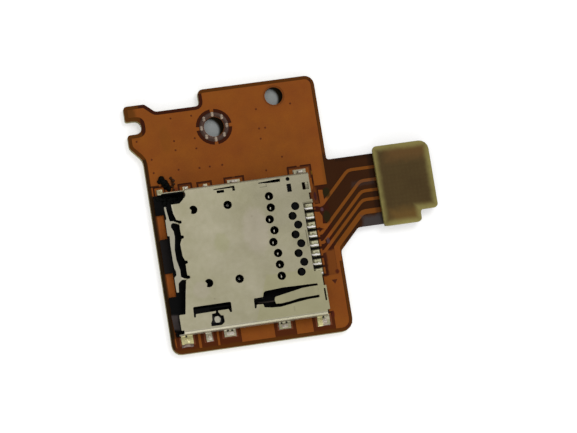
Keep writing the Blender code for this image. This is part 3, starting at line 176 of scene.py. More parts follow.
def makeSpotGroup():
    # A round soft mark, for stains, worn spots and residue, and for painted highlights and painted shade.
    settings = {"Middle": (0.0, 0.0, 0.0), "Width": 1.0, "Depth": 1.0, "Edge": 0.5}
    tree, source, sink = newGroup("spot", settings, "Mask")
    wobble = noiseValue(tree, source["Place"], 3.0, 3.0)
    away = vectorMath(tree, "SUBTRACT", source["Place"], source["Middle"])
    parts = splitAxes(tree, away.outputs[0])
    squares = []
    for axis, size in ((0, "Width"), (1, "Depth")):
        share = math2(tree, "DIVIDE", parts[axis], source[size])
        squares.append(math2(tree, "MULTIPLY", share, share))
    length = math2(tree, "SQRT", fold(tree, "ADD", squares))
    distance = math2(tree, "ADD", length, math2(tree, "MULTIPLY", wobble, 0.5))
    outer = math2(tree, "ADD", source["Edge"], 1.0)
    tree.links.new(ramp(tree, distance, outer, 1.0), sink)
    return tree


def makeGrainGroup():
    # The height of a fine surface grain, longer one way than the other where the sheet was rolled.
    tree, source, sink = newGroup("grain", {"Stretch": (1.0, 1.0, 1.0), "Scale": 12.0}, "Height")
    pulled = vectorMath(tree, "MULTIPLY", source["Place"], source["Stretch"])
    tree.links.new(noiseValue(tree, pulled.outputs[0], source["Scale"], 5.0, 0.7), sink)
    return tree


mottleGroup = makeMottleGroup()
patchGroup = makePatchGroup()
spotGroup = makeSpotGroup()
grainGroup = makeGrainGroup()


def startMaterial(name, roughness, metallic, specular=0.5):
    material = bpy.data.materials.new(name)
    material.use_nodes = True
    tree = material.node_tree
    shader = tree.nodes["Principled BSDF"]
    shader.inputs["Roughness"].default_value = roughness
    shader.inputs["Metallic"].default_value = metallic
    shader.inputs["Specular IOR Level"].default_value = specular
    return material, tree, shader, boardPlace(tree)


def useGroup(tree, group, inputs):
    return addNode(tree, "ShaderNodeGroup", inputs, node_tree=group).outputs[0]


def mottle(tree, where, broad, fine, share):
    return useGroup(tree, mottleGroup, {"Place": where, "Broad": broad, "Fine": fine, "Share": share})


def patch(tree, where, low, high, edge, wander):
    sides = {"Low X": low[0], "Low Y": low[1], "High X": high[0], "High Y": high[1]}
    return useGroup(tree, patchGroup, {"Place": where, **sides, "Edge": edge, "Wander": wander})


def spot(tree, where, middle, width, depth, edge=0.5):
    sizes = {"Middle": (*middle, 0), "Width": width, "Depth": depth}
    return useGroup(tree, spotGroup, {"Place": where, **sizes, "Edge": edge})


def grain(tree, where, scale, stretch=(1, 1, 1)):
    return useGroup(tree, grainGroup, {"Place": where, "Scale": scale, "Stretch": stretch})


def onlyFlat(tree, where):
    # A place with its height left out, so that a mark is the same all the way through the sheet.
    return vectorMath(tree, "MULTIPLY", where, (1, 1, 0)).outputs[0]


def tint(tree, colour, mask, share, code):
    # Part of a web colour laid over another colour where the mask is.
    return blendColour(tree, math2(tree, "MULTIPLY", mask, share), colour, srgb(code))


def addMarks(tree, where, colour, marks):
    # Each row is a patch or a spot with its place and sizes, then its colour and its share.
    for drawMask, *sizes, code, share in marks:
        colour = tint(tree, colour, drawMask(tree, where, *sizes), share, code)
    return colour


def roughen(tree, shader, mask, spread, least):
    rough = math2(tree, "ADD", math2(tree, "MULTIPLY", mask, spread), least)
    tree.links.new(rough, shader.inputs["Roughness"])


def addBump(tree, shader, height, strength, distance):
    inputs = {"Height": height, "Strength": strength, "Distance": distance * mm}
    bump = addNode(tree, "ShaderNodeBump", inputs)
    tree.links.new(bump.outputs["Normal"], shader.inputs["Normal"])


film = {
    "pour": "95561A", "pourDark": "7E451A", "pourRed": "8A3F18", "margin": "5A3006", "tail": "361A06",
    "track": "7C4614", "clear": "3A1406", "cloud": "4A2C10", "grey": "454040", "green": "24220A",
    "burn": "0C0603", "ear": "5A340C", "low": "54240A", "pad": "6E3C2A", "gap": "0A0704",
    "copper": "84481A", "bright": "B0602A", "side": "241A08", "frame": "46200E",
    "inside": ((0.3, 1.6), (17.1, 24.5)), "lowEdge": ((0.3, 0.35), (17.1, 1.7)),
    "tailStart": (boardWidth - 0.75, boardWidth - 0.35), "tailTop": (17.4, 16.9), "tailFoot": (7.9, 8.7),
    "pads": (((0.7, 0.3), (2.3, 1.75)), ((3.05, 0.5), (4.1, 1.75)), ((4.8, 0.5), (6.4, 1.75)),
             ((10.1, 0.5), (11.7, 1.75)), ((13.8, 0.5), (15.5, 1.75))),
    "frames": (((2.83, 15.0), (4.26, 16.04)), ((4.66, 15.0), (6.13, 16.05)),
               ((7.28, 15.0), (9.25, 16.15)), ((13.44, 15.0), (15.74, 16.25))),
    "frameLine": 0.2,
}
filmMarks = (
    (patch, (15.90, 5.35), (16.95, 7.90), 0.25, 0.10, film["copper"], 0.80),
    (patch, (15.30, 12.50), (15.95, 14.40), 0.25, 0.10, film["copper"], 0.45),
    (patch, (0.30, 10.90), (1.40, 13.40), 0.10, 0.02, film["bright"], 0.35),
    (patch, (0.30, 5.40), (1.40, 7.90), 0.10, 0.02, film["bright"], 0.35),
    # Painted shade: the film under the roof is painted near-black where it shows through the roof's openings.
    (patch, (1.50, 1.90), (15.30, 14.90), 0.08, 0.02, film["gap"], 0.95),
    (patch, (18.2, 16.2), (22.4, 17.2), 0.30, 0.10, film["gap"], 0.35),
    # Painted shadow of the tail plate, along its left side.
    (patch, (21.3, 9.8), (22.3, 17.2), 0.35, 0.03, film["gap"], 0.45),
    (patch, (19.4, 13.6), (21.6, 14.1), 0.35, 0.15, film["grey"], 0.25),
    (patch, (-0.40, 0.5), (0.27, 18.9), 0.10, 0.02, film["side"], 0.80),
    (patch, (0.0, 1.5), (0.45, 15.3), 0.10, 0.02, film["side"], 0.70),
    (patch, (-1.2, 21.0), (-0.1, 24.3), 0.5, 0.15, film["ear"], 0.75),
    (patch, (19.9, 9.6), (21.9, 10.6), 0.5, 0.15, film["grey"], 0.85),
    (spot, (16.85, 13.4), 0.36, 0.50, film["green"], 0.8),
    (spot, (16.55, 11.1), 0.34, 0.60, film["green"], 0.8),
    (spot, (16.2, 11.85), 0.14, 0.18, "5E4048", 0.8),
    (spot, (16.3, 8.78), 0.16, 0.3, "4E3C42", 0.8),
    (spot, (16.1, 8.8), 0.07, 0.16, film["gap"], 0.9),
    (spot, (15.65, 12.1), 0.3, 0.12, "3A0E10", 0.8),
    (spot, (15.75, 13.2), 0.14, 0.42, "3E1C20", 0.85),
    (spot, (15.75, 9.95), 0.35, 0.08, "3A1408", 0.7),
    (spot, (15.8, 7.3), 0.18, 0.4, "4A2414", 0.6),
    (spot, (16.7, 5.75), 0.2, 0.2, "4A1A10", 0.8),
    (spot, (15.5, 5.55), 0.35, 0.16, "3E160A", 0.8),
    (spot, (15.65, 1.75), 0.14, 0.35, "5A2216", 0.7),
    (spot, (2.4, 16.3), 0.16, 0.5, film["burn"], 0.75),
    (spot, (2.65, 15.65), 0.2, 0.2, "6A2A1A", 0.6),
    (patch, (0.2, 16.1), (1.1, 16.27), 0.06, 0.02, film["burn"], 0.8),
    (spot, (15.75, 15.5), 0.07, 0.2, "8A6410", 0.8),
    # Painted shade between the contact tails.
    (patch, (14.1, 5.5), (15.42, 12.9), 0.12, 0.02, film["gap"], 0.9),
    (spot, (13.2, 22.3), 0.5, 0.1, "6E3E14", 0.3),
    (spot, (13.35, 23.35), 1.45, 1.45, 0.1, film["copper"], 0.75),
    (spot, (2.4, 20.6), 0.5, 1.3, "7E4A16", 0.4),
)


def makeFilmMaterial():
    material, tree, shader, where = startMaterial("flex_film", 0.42, 0.0, 0.04)
    flat = onlyFlat(tree, where)
    across, along, up = splitAxes(tree, where)
    copper = ramp(tree, up, copperLevel - 0.024, copperLevel - 0.008)
    sides = [ramp(tree, across, *film["tailStart"]), ramp(tree, along, *film["tailTop"]),
             ramp(tree, along, *film["tailFoot"])]
    tail = fold(tree, "MULTIPLY", sides)
    clouds = mottle(tree, flat, 0.45, 7.0, 0.4)
    pour = blendColour(tree, clouds, srgb(film["pourDark"]), srgb(film["pour"]))
    inside = patch(tree, flat, *film["inside"], 0.1, 0.02)
    bare = blendColour(tree, inside, srgb(film["margin"]), srgb(film["clear"]))
    lowEdge = patch(tree, flat, *film["lowEdge"], 0.3, 0.1)
    bare = blendColour(tree, lowEdge, bare, srgb(film["low"]))
    bare = blendColour(tree, tail, bare, srgb(film["tail"]))
    bare = tint(tree, bare, clouds, 0.2, film["cloud"])
    pour = tint(tree, pour, mottle(tree, flat, 0.2, 1.3, 0.3), 0.35, film["pourRed"])
    pour = blendColour(tree, tail, pour, srgb(film["track"]))
    # Solder pads have a paler, pinkish rim where the cover layer ends.
    pads = [patch(tree, flat, low, high, 0.05, 0.0) for low, high in film["pads"]]
    pour = tint(tree, pour, fold(tree, "MAXIMUM", pads), 0.8, film["pad"])
    colour = blendColour(tree, copper, bare, pour)
    colour = addMarks(tree, flat, colour, filmMarks)
    # Dark lines frame the pads of the high side.
    line = film["frameLine"]
    for low, high in film["frames"]:
        outer = patch(tree, flat, low, high, 0.06, 0.0)
        inner = patch(tree, flat, (low[0] + line, low[1] - line), (high[0] - line, high[1] - line), 0.06, 0.0)
        colour = tint(tree, colour, math2(tree, "SUBTRACT", outer, inner), 0.75, film["frame"])
    tree.links.new(colour, shader.inputs["Base Color"])
    roughen(tree, shader, mottle(tree, flat, 1.2, 20.0, 0.5), 0.18, 0.34)
    addBump(tree, shader, grain(tree, where, 6.0), 0.25, 0.012)
    return material


laminate = {
    "rim": ("7C7240", "968C52"), "middle": ("46351A", "524122"), "weave": "8E8558",
    "holes": ((7.20, 21.15), (13.45, 23.50)), "holeReach": 1.62, "holeWallShade": "1C160C",
    "wide": ((22.14, 10.90), (26.88, 16.68)), "narrow": ((22.14, 9.70), (25.18, 16.68)),
}
tailMarks = (
    (patch, (22.6, 8.4), (27.6, 10.75), 1.3, 0.2, "6A5026", 1.0),
    (patch, (23.0, 15.5), (27.2, 17.8), 1.3, 0.2, "6E4E28", 0.6),
)


def makeLaminateMaterial(name, seeThrough):
    material, tree, shader, where = startMaterial(name, 0.5, 0.0, 0.08)
    flat = onlyFlat(tree, where)
    clouds = mottle(tree, flat, 0.35, 5.0, 0.3)
    colour = blendColour(tree, clouds, *map(srgb, laminate["rim"]))
    waves = []
    for direction in ("X", "Y"):
        wave = addNode(tree, "ShaderNodeTexWave",
                       {"Vector": flat, "Scale": 0.8, "Distortion": 0.4, "Detail": 1.0},
                       bands_direction=direction)
        waves.append(wave.outputs[1])
    weave = fold(tree, "MULTIPLY", waves)
    if seeThrough:
        # The film below darkens all but the rim, where the laminate alone lets light through.
        middle = blendColour(tree, clouds, *map(srgb, laminate["middle"]))
        middle = addMarks(tree, flat, middle, tailMarks)
        dark = [patch(tree, flat, *laminate[field], 0.75, 0.06) for field in ("wide", "narrow")]
        colour = blendColour(tree, fold(tree, "MAXIMUM", dark), colour, middle)
    else:
        # The cut walls of the two holes are painted dark, as painted shade inside the holes.
        reach = laminate["holeReach"]
        for middle in laminate["holes"]:
            wall = spot(tree, flat, middle, reach, reach, 0.1)
            colour = blendColour(tree, wall, colour, srgb(laminate["holeWallShade"]))
    colour = tint(tree, colour, weave, 0.02, laminate["weave"])
    tree.links.new(colour, shader.inputs["Base Color"])
    height = math2(tree, "ADD", grain(tree, where, 9.0), math2(tree, "MULTIPLY", weave, 0.25))
    addBump(tree, shader, height, 0.2, 0.01)
    return material


sheet = {
    "light": "B7B09A", "dark": "9C967C", "green": "97966E", "pink": "ADA296", "patch": "979370",
    "rim": "DAD4BE", "grimeAndShade": "645F4C", "lip": "CFCAB8", "shade": "6E6957", "burn": "0A0A06",
    "flux": "CEC68C", "pits": (1.44, 5.42, 5.83, 10.59, 11.07, 14.62),
    "rear": (1.5, 14.0), "corner": ((9.5, 10.5), (15.6, 15.6)), "field": ((7.0, 1.0), (16.0, 6.15)),
    "slant": 0.372, "slantEdge": (7.34, 7.46),
}
sheetMarks = (
    (spot, (4.5, 4.6), 0.08, 0.07, sheet["grimeAndShade"], 0.35),
    (spot, (11.85, 2.6), 0.08, 0.25, sheet["grimeAndShade"], 0.25),
    # A painted highlight along one edge of an opening in the roof.
    (spot, (10.75, 14.9), 0.3, 0.06, 0.25, sheet["rim"], 0.6),
    (spot, (9.2, 11.9), 0.1, 0.1, sheet["grimeAndShade"], 0.3),
    (spot, (3.4, 5.6), 0.8, 0.8, sheet["pink"], 0.3),
    (spot, (6.0, 9.8), 0.7, 0.9, sheet["green"], 0.4),
    (spot, (9.4, 10.5), 1.2, 2.2, sheet["pink"], 0.35),
    # Painted shade lines by the shell's edge and along the top edge of the tails' opening.
    (patch, (14.06, 8.3), (14.15, 9.9), 0.03, 0.0, sheet["grimeAndShade"], 0.85),
    (patch, (14.2, 12.42), (15.1, 12.55), 0.04, 0.01, sheet["grimeAndShade"], 0.7),
    # The lip strip is painted paler, as a painted highlight.
    (patch, (0.9, 5.5), (1.9, 14.1), 0.3, 0.02, sheet["lip"], 0.55),
    (spot, (3.05, 14.85), 0.28, 0.40, 0.2, sheet["burn"], 0.97),
    (spot, (2.55, 14.25), 0.30, 0.14, 0.2, sheet["burn"], 0.97),
    # The front wall is painted paler, as painted light.
    (patch, (0.9, 1.3), (15.3, 1.95), 0.12, 0.03, sheet["lip"], 0.35),
    # Painted shade lines along the edges of the roof's openings.
    (patch, (10.40, 14.50), (11.08, 14.55), 0.03, 0.0, sheet["burn"], 0.55),
    (patch, (11.02, 14.52), (11.08, 14.76), 0.03, 0.0, sheet["burn"], 0.55),
    (patch, (6.00, 14.86), (8.02, 14.97), 0.05, 0.01, sheet["burn"], 0.70),
    (patch, (14.42, 14.36), (15.06, 14.44), 0.05, 0.01, sheet["grimeAndShade"], 0.60),
    (patch, (14.97, 13.75), (15.04, 14.42), 0.04, 0.01, sheet["burn"], 0.50),
    # Flux on the low tabs, with a dark pit painted where each meets the wall, as painted shade of a notch.
    (patch, (0.85, 0.8), (2.15, 1.63), 0.1, 0.02, sheet["flux"], 0.75),
    (patch, (13.85, 0.7), (14.5, 1.63), 0.1, 0.02, sheet["flux"], 0.75),
    *((spot, (x, 1.56), 0.13, 0.10, 0.2, sheet["burn"], 0.95) for x in sheet["pits"]),
)


def makeSheetMaterial():
    material, tree, shader, where = startMaterial("stainless_sheet", 0.42, 0.9)
    flat = onlyFlat(tree, where)
    across, along = splitAxes(tree, flat)[:2]
    clouds = mottle(tree, flat, 0.28, 2.2, 0.25)
    colour = blendColour(tree, clouds, srgb(sheet["dark"]), srgb(sheet["light"]))
    colour = tint(tree, colour, mottle(tree, flat, 0.16, 0.9, 0.4), 0.35, sheet["green"])
    # The roof is painted darker towards the rear and in the rear corner, as painted shade.
    rear = math2(tree, "MULTIPLY", ramp(tree, across, *sheet["rear"], False), 0.36)
    corner = math2(tree, "MULTIPLY", patch(tree, flat, *sheet["corner"], 1.6, 0.2), 0.12)
    colour = blendColour(tree, math2(tree, "ADD", rear, corner), colour, srgb(sheet["shade"]))
    # The discoloured field by the spring tongue has a straight slanting left side.
    slanted = math2(tree, "SUBTRACT", across, math2(tree, "MULTIPLY", along, sheet["slant"]))
    field = math2(tree, "MULTIPLY", ramp(tree, slanted, *sheet["slantEdge"]),
                  patch(tree, flat, *sheet["field"], 0.2, 0.08))
    colour = tint(tree, colour, field, 0.6, sheet["patch"])
    colour = addMarks(tree, flat, colour, sheetMarks)
    # The rounded rims are painted paler, as a painted highlight.
    edge = addNode(tree, "ShaderNodeAttribute", attribute_name="edge")
    colour = tint(tree, colour, edge.outputs["Fac"], 0.3, sheet["rim"])
    tree.links.new(colour, shader.inputs["Base Color"])
    roughen(tree, shader, mottle(tree, flat, 0.6, 9.0, 0.5), 0.16, 0.36)
    addBump(tree, shader, grain(tree, where, 4.0, (0.35, 3.0, 1.0)), 0.18, 0.008)
    return material


# Two places where the moulding's top is painted paler, as a painted sheen.
plasticMarks = (
    (patch, (0.10, 2.3), (0.95, 3.7), 0.3, 0.08, "4A4240", 0.85),
    (patch, (0.0, 7.7), (1.1, 11.0), 0.3, 0.08, "4A4240", 0.12),
)


def makePlasticMaterial(name, code, roughness):
    material, tree, shader, where = startMaterial(name, roughness, 0.0, 0.06)
    dust = mottle(tree, where, 0.8, 11.0, 0.6)
    colour = blendColour(tree, math2(tree, "POWER", dust, 4.0), srgb(code), srgb("161616"))
    colour = addMarks(tree, onlyFlat(tree, where), colour, plasticMarks)
    tree.links.new(colour, shader.inputs["Base Color"])
    roughen(tree, shader, dust, 0.2, roughness - 0.1)
    addBump(tree, shader, grain(tree, where, 14.0), 0.35, 0.012)
    return material


contact = {
    "firstBump": 13.57, "bumpPitch": 1.10, "firstTail": 12.27, "tailPitch": 0.90, "tinStart": (14.4, 14.5),
    "tails": ((14.3, 5.6), (15.6, 12.8)), "darkTail": ((14.0, 11.90), (15.6, 12.75)),
}


def withinRow(tree, along, first, pitch):
    # How far a point is from the middle of the nearest contact in a row, in millimetres.
    steps = math2(tree, "DIVIDE", math2(tree, "SUBTRACT", along, first), pitch)
    return math2(tree, "MULTIPLY", math2(tree, "SUBTRACT", steps, math2(tree, "ROUND", steps)), pitch)


def brightStrip(tree, along, near, far):
    # The side of each tail that faces the light.
    aside = withinRow(tree, along, contact["firstTail"], contact["tailPitch"])
    return math2(tree, "MULTIPLY", ramp(tree, aside, *near), ramp(tree, aside, *far))


def makePlatedMaterial():
    # The beam is painted near-black as painted shade under the roof, with a painted highlight on the bump's
    # crown, and tin at the solder tail.
    material, tree, shader, where = startMaterial("plated_contact", 0.28, 1.0)
    across, along, up = splitAxes(tree, where)
    tinned = ramp(tree, across, *contact["tinStart"])
    aside = math2(tree, "ABSOLUTE", withinRow(tree, along, contact["firstBump"], contact["bumpPitch"]))
    crownHighlight = math2(tree, "MULTIPLY", ramp(tree, up, contactTop - 0.014, contactTop - 0.006),
                   ramp(tree, aside, 0.13, 0.08))
    worn = mottle(tree, where, 1.5, 12.0, 0.5)
    beamShade = blendColour(tree, worn, srgb("0A0904"), srgb("1E1A0C"))
    gold = blendColour(tree, crownHighlight, beamShade, srgb("C2BEAC"))
    tin = blendColour(tree, worn, srgb("6C684C"), srgb("949072"))
    strip = brightStrip(tree, along, (-0.10, -0.14), (-0.36, -0.32))
    tin = blendColour(tree, strip, tin, srgb("FFFAF4"))
    tree.links.new(blendColour(tree, tinned, gold, tin), shader.inputs["Base Color"])
    bright = math2(tree, "MULTIPLY", math2(tree, "MAXIMUM", tinned, crownHighlight), 0.6)
    tree.links.new(math2(tree, "SUBTRACT", 1.0, bright), shader.inputs["Metallic"])
    roughen(tree, shader, worn, 0.2, 0.2)
    addBump(tree, shader, grain(tree, where, 16.0), 0.15, 0.006)
    return material


# Flux leaves some joints cream-yellow, and small dark pits by the wall are painted shade.
solderMarks = (
    (patch, (0.8, 0.80), (2.1, 1.8), 0.1, 0.02, "CEC68C", 0.85),
    (patch, (0.7, 0.40), (2.5, 0.88), 0.10, 0.02, "5A4038", 0.85),
    (patch, (4.7, 0.90), (15.6, 1.08), 0.12, 0.03, "8A6A62", 0.35),
    (patch, (13.9, 0.7), (14.5, 1.7), 0.25, 0.06, "D8CF8E", 0.85),
    (patch, (0.7, 15.3), (1.5, 15.9), 0.2, 0.08, "A9A77A", 0.9),
    (patch, (10.1, 0.8), (11.7, 1.8), 0.2, 0.06, "8E8274", 0.5),
    (patch, (14.5, 0.6), (15.4, 1.8), 0.2, 0.06, "8E8070", 0.55),
    (patch, (7.4, 15.3), (9.0, 16.0), 0.15, 0.06, "7E7064", 0.25),
    (patch, (13.8, 15.3), (15.4, 16.1), 0.2, 0.08, "6E6640", 0.4),
    (patch, (13.8, 15.3), (14.5, 16.1), 0.2, 0.08, "7E784A", 0.4),
    (patch, (3.2, 1.15), (4.0, 1.7), 0.2, 0.1, "8A7A4C", 0.5),
    (spot, (14.4, 15.7), 0.08, 0.08, "1C1A12", 0.8),
    (spot, (7.9, 15.6), 0.15, 0.06, "4A4038", 0.7),
)


def makeSolderMaterial():
    material, tree, shader, where = startMaterial("solder", 0.35, 0.45)
    flat = onlyFlat(tree, where)
    worn = mottle(tree, where, 1.8, 9.0, 0.5)
    colour = blendColour(tree, worn, srgb("B0A898"), srgb("E6DED6"))
    flux = ramp(tree, noiseValue(tree, where, 3.2, 2.0), 0.58, 0.7)
    colour = tint(tree, colour, flux, 0.6, "6E5E4C")
    colour = addMarks(tree, flat, colour, solderMarks)
    # The tails are olive with one bright strip along the side that faces the light.
    strip = brightStrip(tree, splitAxes(tree, where)[1], (-0.05, -0.09), (-0.27, -0.22))
    olive = blendColour(tree, worn, srgb("605E42"), srgb("8E8A6C"))
    tails = blendColour(tree, strip, olive, srgb("FFFAF6"))
    colour = blendColour(tree, patch(tree, flat, *contact["tails"], 0.05, 0.0), colour, tails)
    colour = tint(tree, colour, patch(tree, flat, *contact["darkTail"], 0.05, 0.0), 0.4, "5E4E3E")
    tree.links.new(colour, shader.inputs["Base Color"])
    roughen(tree, shader, worn, 0.25, 0.22)
    addBump(tree, shader, grain(tree, where, 7.0), 0.5, 0.03)
    return material


def makeMetalMaterial(name, dark, light, roughness, metallic):
    material, tree, shader, where = startMaterial(name, roughness, metallic)
    drawn = mottle(tree, where, 2.0, 18.0, 0.5)
    tree.links.new(blendColour(tree, drawn, srgb(dark), srgb(light)), shader.inputs["Base Color"])
    roughen(tree, shader, drawn, 0.15, roughness - 0.07)
    return material


leaf = {"bend": (4.50, 2.62), "width": 0.36, "depth": 0.42}


def makeLeafMaterial():
    # The card lock's leaf is painted near-black as painted shade under the roof, with a painted highlight on
    # its bend in the roof's window.
    material, tree, shader, where = startMaterial("dark_leaf", 0.45, 0.5)
    drawn = mottle(tree, where, 2.0, 14.0, 0.5)
    colour = blendColour(tree, drawn, srgb("070605"), srgb("14110E"))
    bend = spot(tree, onlyFlat(tree, where), leaf["bend"], leaf["width"], leaf["depth"], 0.1)
    colour = blendColour(tree, bend, colour, srgb("AEAA98"))
    tree.links.new(colour, shader.inputs["Base Color"])
    return material


def makeInkMaterial(name, dark, light, roughness, bumpDepth, specular):
    material, tree, shader, where = startMaterial(name, roughness, 0.0, specular)
    worn = mottle(tree, where, 2.5, 14.0, 0.5)
    tree.links.new(blendColour(tree, worn, srgb(dark), srgb(light)), shader.inputs["Base Color"])
    addBump(tree, shader, grain(tree, where, 9.0), 0.6, bumpDepth)
    return material


filmMaterial = makeFilmMaterial()
boardLaminate = makeLaminateMaterial("board_laminate", False)
tailLaminate = makeLaminateMaterial("tail_laminate", True)
sheetMaterial = makeSheetMaterial()
blackPlastic = makePlasticMaterial("black_plastic", "040404", 0.55)
plugPlastic = makePlasticMaterial("plug_plastic", "100F0E", 0.45)
platedMaterial = makePlatedMaterial()
solderMaterial = makeSolderMaterial()
wireMaterial = makeMetalMaterial("drawn_wire", "9A9890", "C9C7BE", 0.25, 1.0)
# The guide pin is painted near-black, as painted shade inside the socket.
pinMaterial = makeMetalMaterial("dark_pin_wire", "120F0E", "3A302C", 0.4, 0.8)
tinMaterial = makeMetalMaterial("tin_pad", "2E1C12", "4A3022", 0.4, 0.5)
beadMaterial = makeMetalMaterial("bright_bead", "645044", "C4B29C", 0.35, 0.35)
# Near-white caps that stand for glints deep in the roof's holes: painted highlights.
bossMaterial = makeMetalMaterial("painted_glint_boss", "F4F4EA", "FFFFF8", 0.3, 0.0)
switchMaterial = makeMetalMaterial("plated_switch", "A39B78", "CDC6A4", 0.35, 0.8)
leafMaterial = makeLeafMaterial()
plugPlated = makeMetalMaterial("plug_contact_gold", "B9A060", "DCC68A", 0.3, 1.0)
viaMaterial = makeInkMaterial("via_cover", "4E2008", "66300E", 0.5, 0.002, 0.08)
markMaterial = makeInkMaterial("dark_mark", "481E0A", "58280E", 0.5, 0.003, 0.08)
charMaterial = makeInkMaterial("burnt_residue", "000000", "080A06", 0.5, 0.05, 0.06)
swirlMaterial = makeInkMaterial("scorched_flux", "140A04", "4A2A0E", 0.4, 0.02, 0.12)
print("materials made")


# Mesh helpers

# Angles are in degrees, and the wide faces are those above so many square millimetres.
rounding = {"flatAngle": 1, "sharpAngle": 28, "segments": 2, "profile": 0.6, "wideFace": 0.3}


def addObject(name, data):
    made = bpy.data.objects.new(name, data)
    bpy.context.scene.collection.objects.link(made)
    return made


def addPiece(name, mesh, material, body=board, smoothAngle=35):
    piece = addObject(name, mesh)
    mesh.materials.clear()
    mesh.materials.append(material)
    mesh.shade_smooth()
    mesh.set_sharp_from_angle(angle=math.radians(smoothAngle))
    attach(piece, body)
    return piece


def cleanMesh(shape):
    bmesh.ops.remove_doubles(shape, verts=shape.verts, dist=1e-7)
    bmesh.ops.recalc_face_normals(shape, faces=shape.faces)


def keepFlat(piece):
    # Wide faces keep their own direction right to the rim, so that only the rounded edges shade round.
    graph = bpy.context.evaluated_depsgraph_get()
    mesh = bpy.data.meshes.new_from_object(piece.evaluated_get(graph))
    normals = [corner.vector.copy() for corner in mesh.corner_normals]
    for face in mesh.polygons:
        if face.area > rounding["wideFace"] * mm ** 2:
            for index in face.loop_indices:
                normals[index] = face.normal.copy()
    mesh.normals_split_custom_set(normals)
    piece.modifiers.clear()
    piece.data = mesh


def refineNode(nodeName, pieceName, material, bevel):
    # A copy of a CAD piece whose crisp edges are rounded as stamping or moulding leaves them.
    shape = bmesh.new()
    shape.from_mesh(nodes[nodeName].data)
    cleanMesh(shape)
    flatAngle = math.radians(rounding["flatAngle"])
    sharpAngle = math.radians(rounding["sharpAngle"])
    bmesh.ops.dissolve_limit(shape, angle_limit=flatAngle, verts=shape.verts, edges=shape.edges)
    # Faces made by the bevel are marked, and the sheet's finish paints a highlight on them.
    layer = shape.faces.layers.float.new("edge")
    edges = [e for e in shape.edges if len(e.link_faces) == 2 and e.is_convex
             and e.calc_face_angle(0) > sharpAngle]
    made = bmesh.ops.bevel(shape, geom=edges, offset=bevel * mm, segments=rounding["segments"],
                           affect="EDGES", clamp_overlap=True, profile=rounding["profile"],
                           loop_slide=True)
    for face in made["faces"]:
        face[layer] = 1.0
    mesh = bpy.data.meshes.new(pieceName)
    shape.to_mesh(mesh)
    shape.free()
    piece = addPiece(pieceName, mesh, material)
    weighted = piece.modifiers.new("flat faces stay flat", "WEIGHTED_NORMAL")
    weighted.keep_sharp = False
    keepFlat(piece)
    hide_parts(nodeName)


def joinLoops(shape, lower, upper):
    for s in range(len(lower)):
        t = (s + 1) % len(lower)
        shape.faces.new((lower[s], lower[t], upper[t], upper[s]))


def closeCap(shape, loops, top):
    # Skin from loop to loop, a fan to the top point and a flat bottom.
    for lower, upper in zip(loops, loops[1:]):
        joinLoops(shape, lower, upper)
    last = loops[-1]
    for s in range(len(last)):
        shape.faces.new((last[s], last[(s + 1) % len(last)], top))
    shape.faces.new(loops[0][::-1])


def circle(shape, x, y, radius, z, sides):
    points = []
    for s in range(sides):
        turn = 2 * math.pi * s / sides
        points.append(shape.verts.new(place(x + radius * math.cos(turn), y + radius * math.sin(turn), z)))
    return points


def dome(shape, low, high, height, base, seed, roll=0.35, columns=22, rows=16, lumps=0.25):
    # A crowned pad of solder between two corners, closed below.
    grid = []
    for j in range(rows + 1):
        line = []
        for i in range(columns + 1):
            u, v = i / columns, j / rows
            edgeU = min(u, 1 - u) / roll
            edgeV = min(v, 1 - v) / roll
            rise = math.sin(min(1, edgeU) * math.pi / 2) * math.sin(min(1, edgeV) * math.pi / 2)
            x = low[0] + (high[0] - low[0]) * u
            y = low[1] + (high[1] - low[1]) * v
            wander = 0.04 * noise.noise(Vector((x * 3, y * 3, seed)))
            lump = 1 + lumps * noise.noise(Vector((x * 4.5, y * 4.5, seed + 7)))
            z = base + height * rise * lump
            line.append(shape.verts.new(place(x + wander * (1 - rise), y + wander * (1 - rise), z)))
        grid.append(line)
    for j in range(rows):
        for i in range(columns):
            shape.faces.new((grid[j][i], grid[j][i + 1], grid[j + 1][i + 1], grid[j + 1][i]))
    right = [line[-1] for line in grid[1:]]
    left = [line[0] for line in grid[-2:0:-1]]
    ring = grid[0][:] + right + grid[-1][-2::-1] + left
    bottom = [shape.verts.new(v.co - Vector((0, 0, 0.02 * mm))) for v in ring]
    joinLoops(shape, bottom, ring)
    shape.faces.new(bottom[::-1])


def cap(shape, x, y, radius, height, base, sides=18, rings=5):
    # A round bead or cover, a shallow spherical cap closed below.
    loops = []
    for r in range(rings):
        angle = r / rings * math.pi / 2
        rise = base + height * math.sin(angle)
        loops.append(circle(shape, x, y, radius * math.cos(angle), rise, sides))
    closeCap(shape, loops, shape.verts.new(place(x, y, base + height)))


def meshFrom(shape, name):
    cleanMesh(shape)
    mesh = bpy.data.meshes.new(name)
    shape.to_mesh(mesh)
    shape.free()
    return mesh


# CAD pieces that keep their own mesh and take a finish

def finishNode(nodeName, material):
    node = nodes[nodeName]
    node.data.materials.clear()
    node.data.materials.append(material)


finishNode("flex_board", filmMaterial)
for nodeName in ("housing", "slider"):
    finishNode(nodeName, blackPlastic)
finishNode("plug_housing", plugPlastic)
finishNode("guide_pin", pinMaterial)
finishNode("card_lock_spring", leafMaterial)
for nodeName in ("detect_switch_arm", "detect_switch_stop", "plug_clip_1", "plug_clip_2"):
    finishNode(nodeName, switchMaterial)
for number in range(1, 17):
    finishNode(f"plug_contact_{number:02d}", plugPlated)
print("carried pieces finished")

# Pieces with rounded edges in place of the plain solids

refineNode("shell", "shell_cover", sheetMaterial, bevel=0.022)
refineNode("board_stiffener", "board_plate", boardLaminate, bevel=0.03)
refineNode("tail_stiffener", "tail_plate", tailLaminate, bevel=0.03)
for number in range(1, 9):
    refineNode(f"contact_{number}", f"card_contact_{number}", platedMaterial, bevel=0.02)


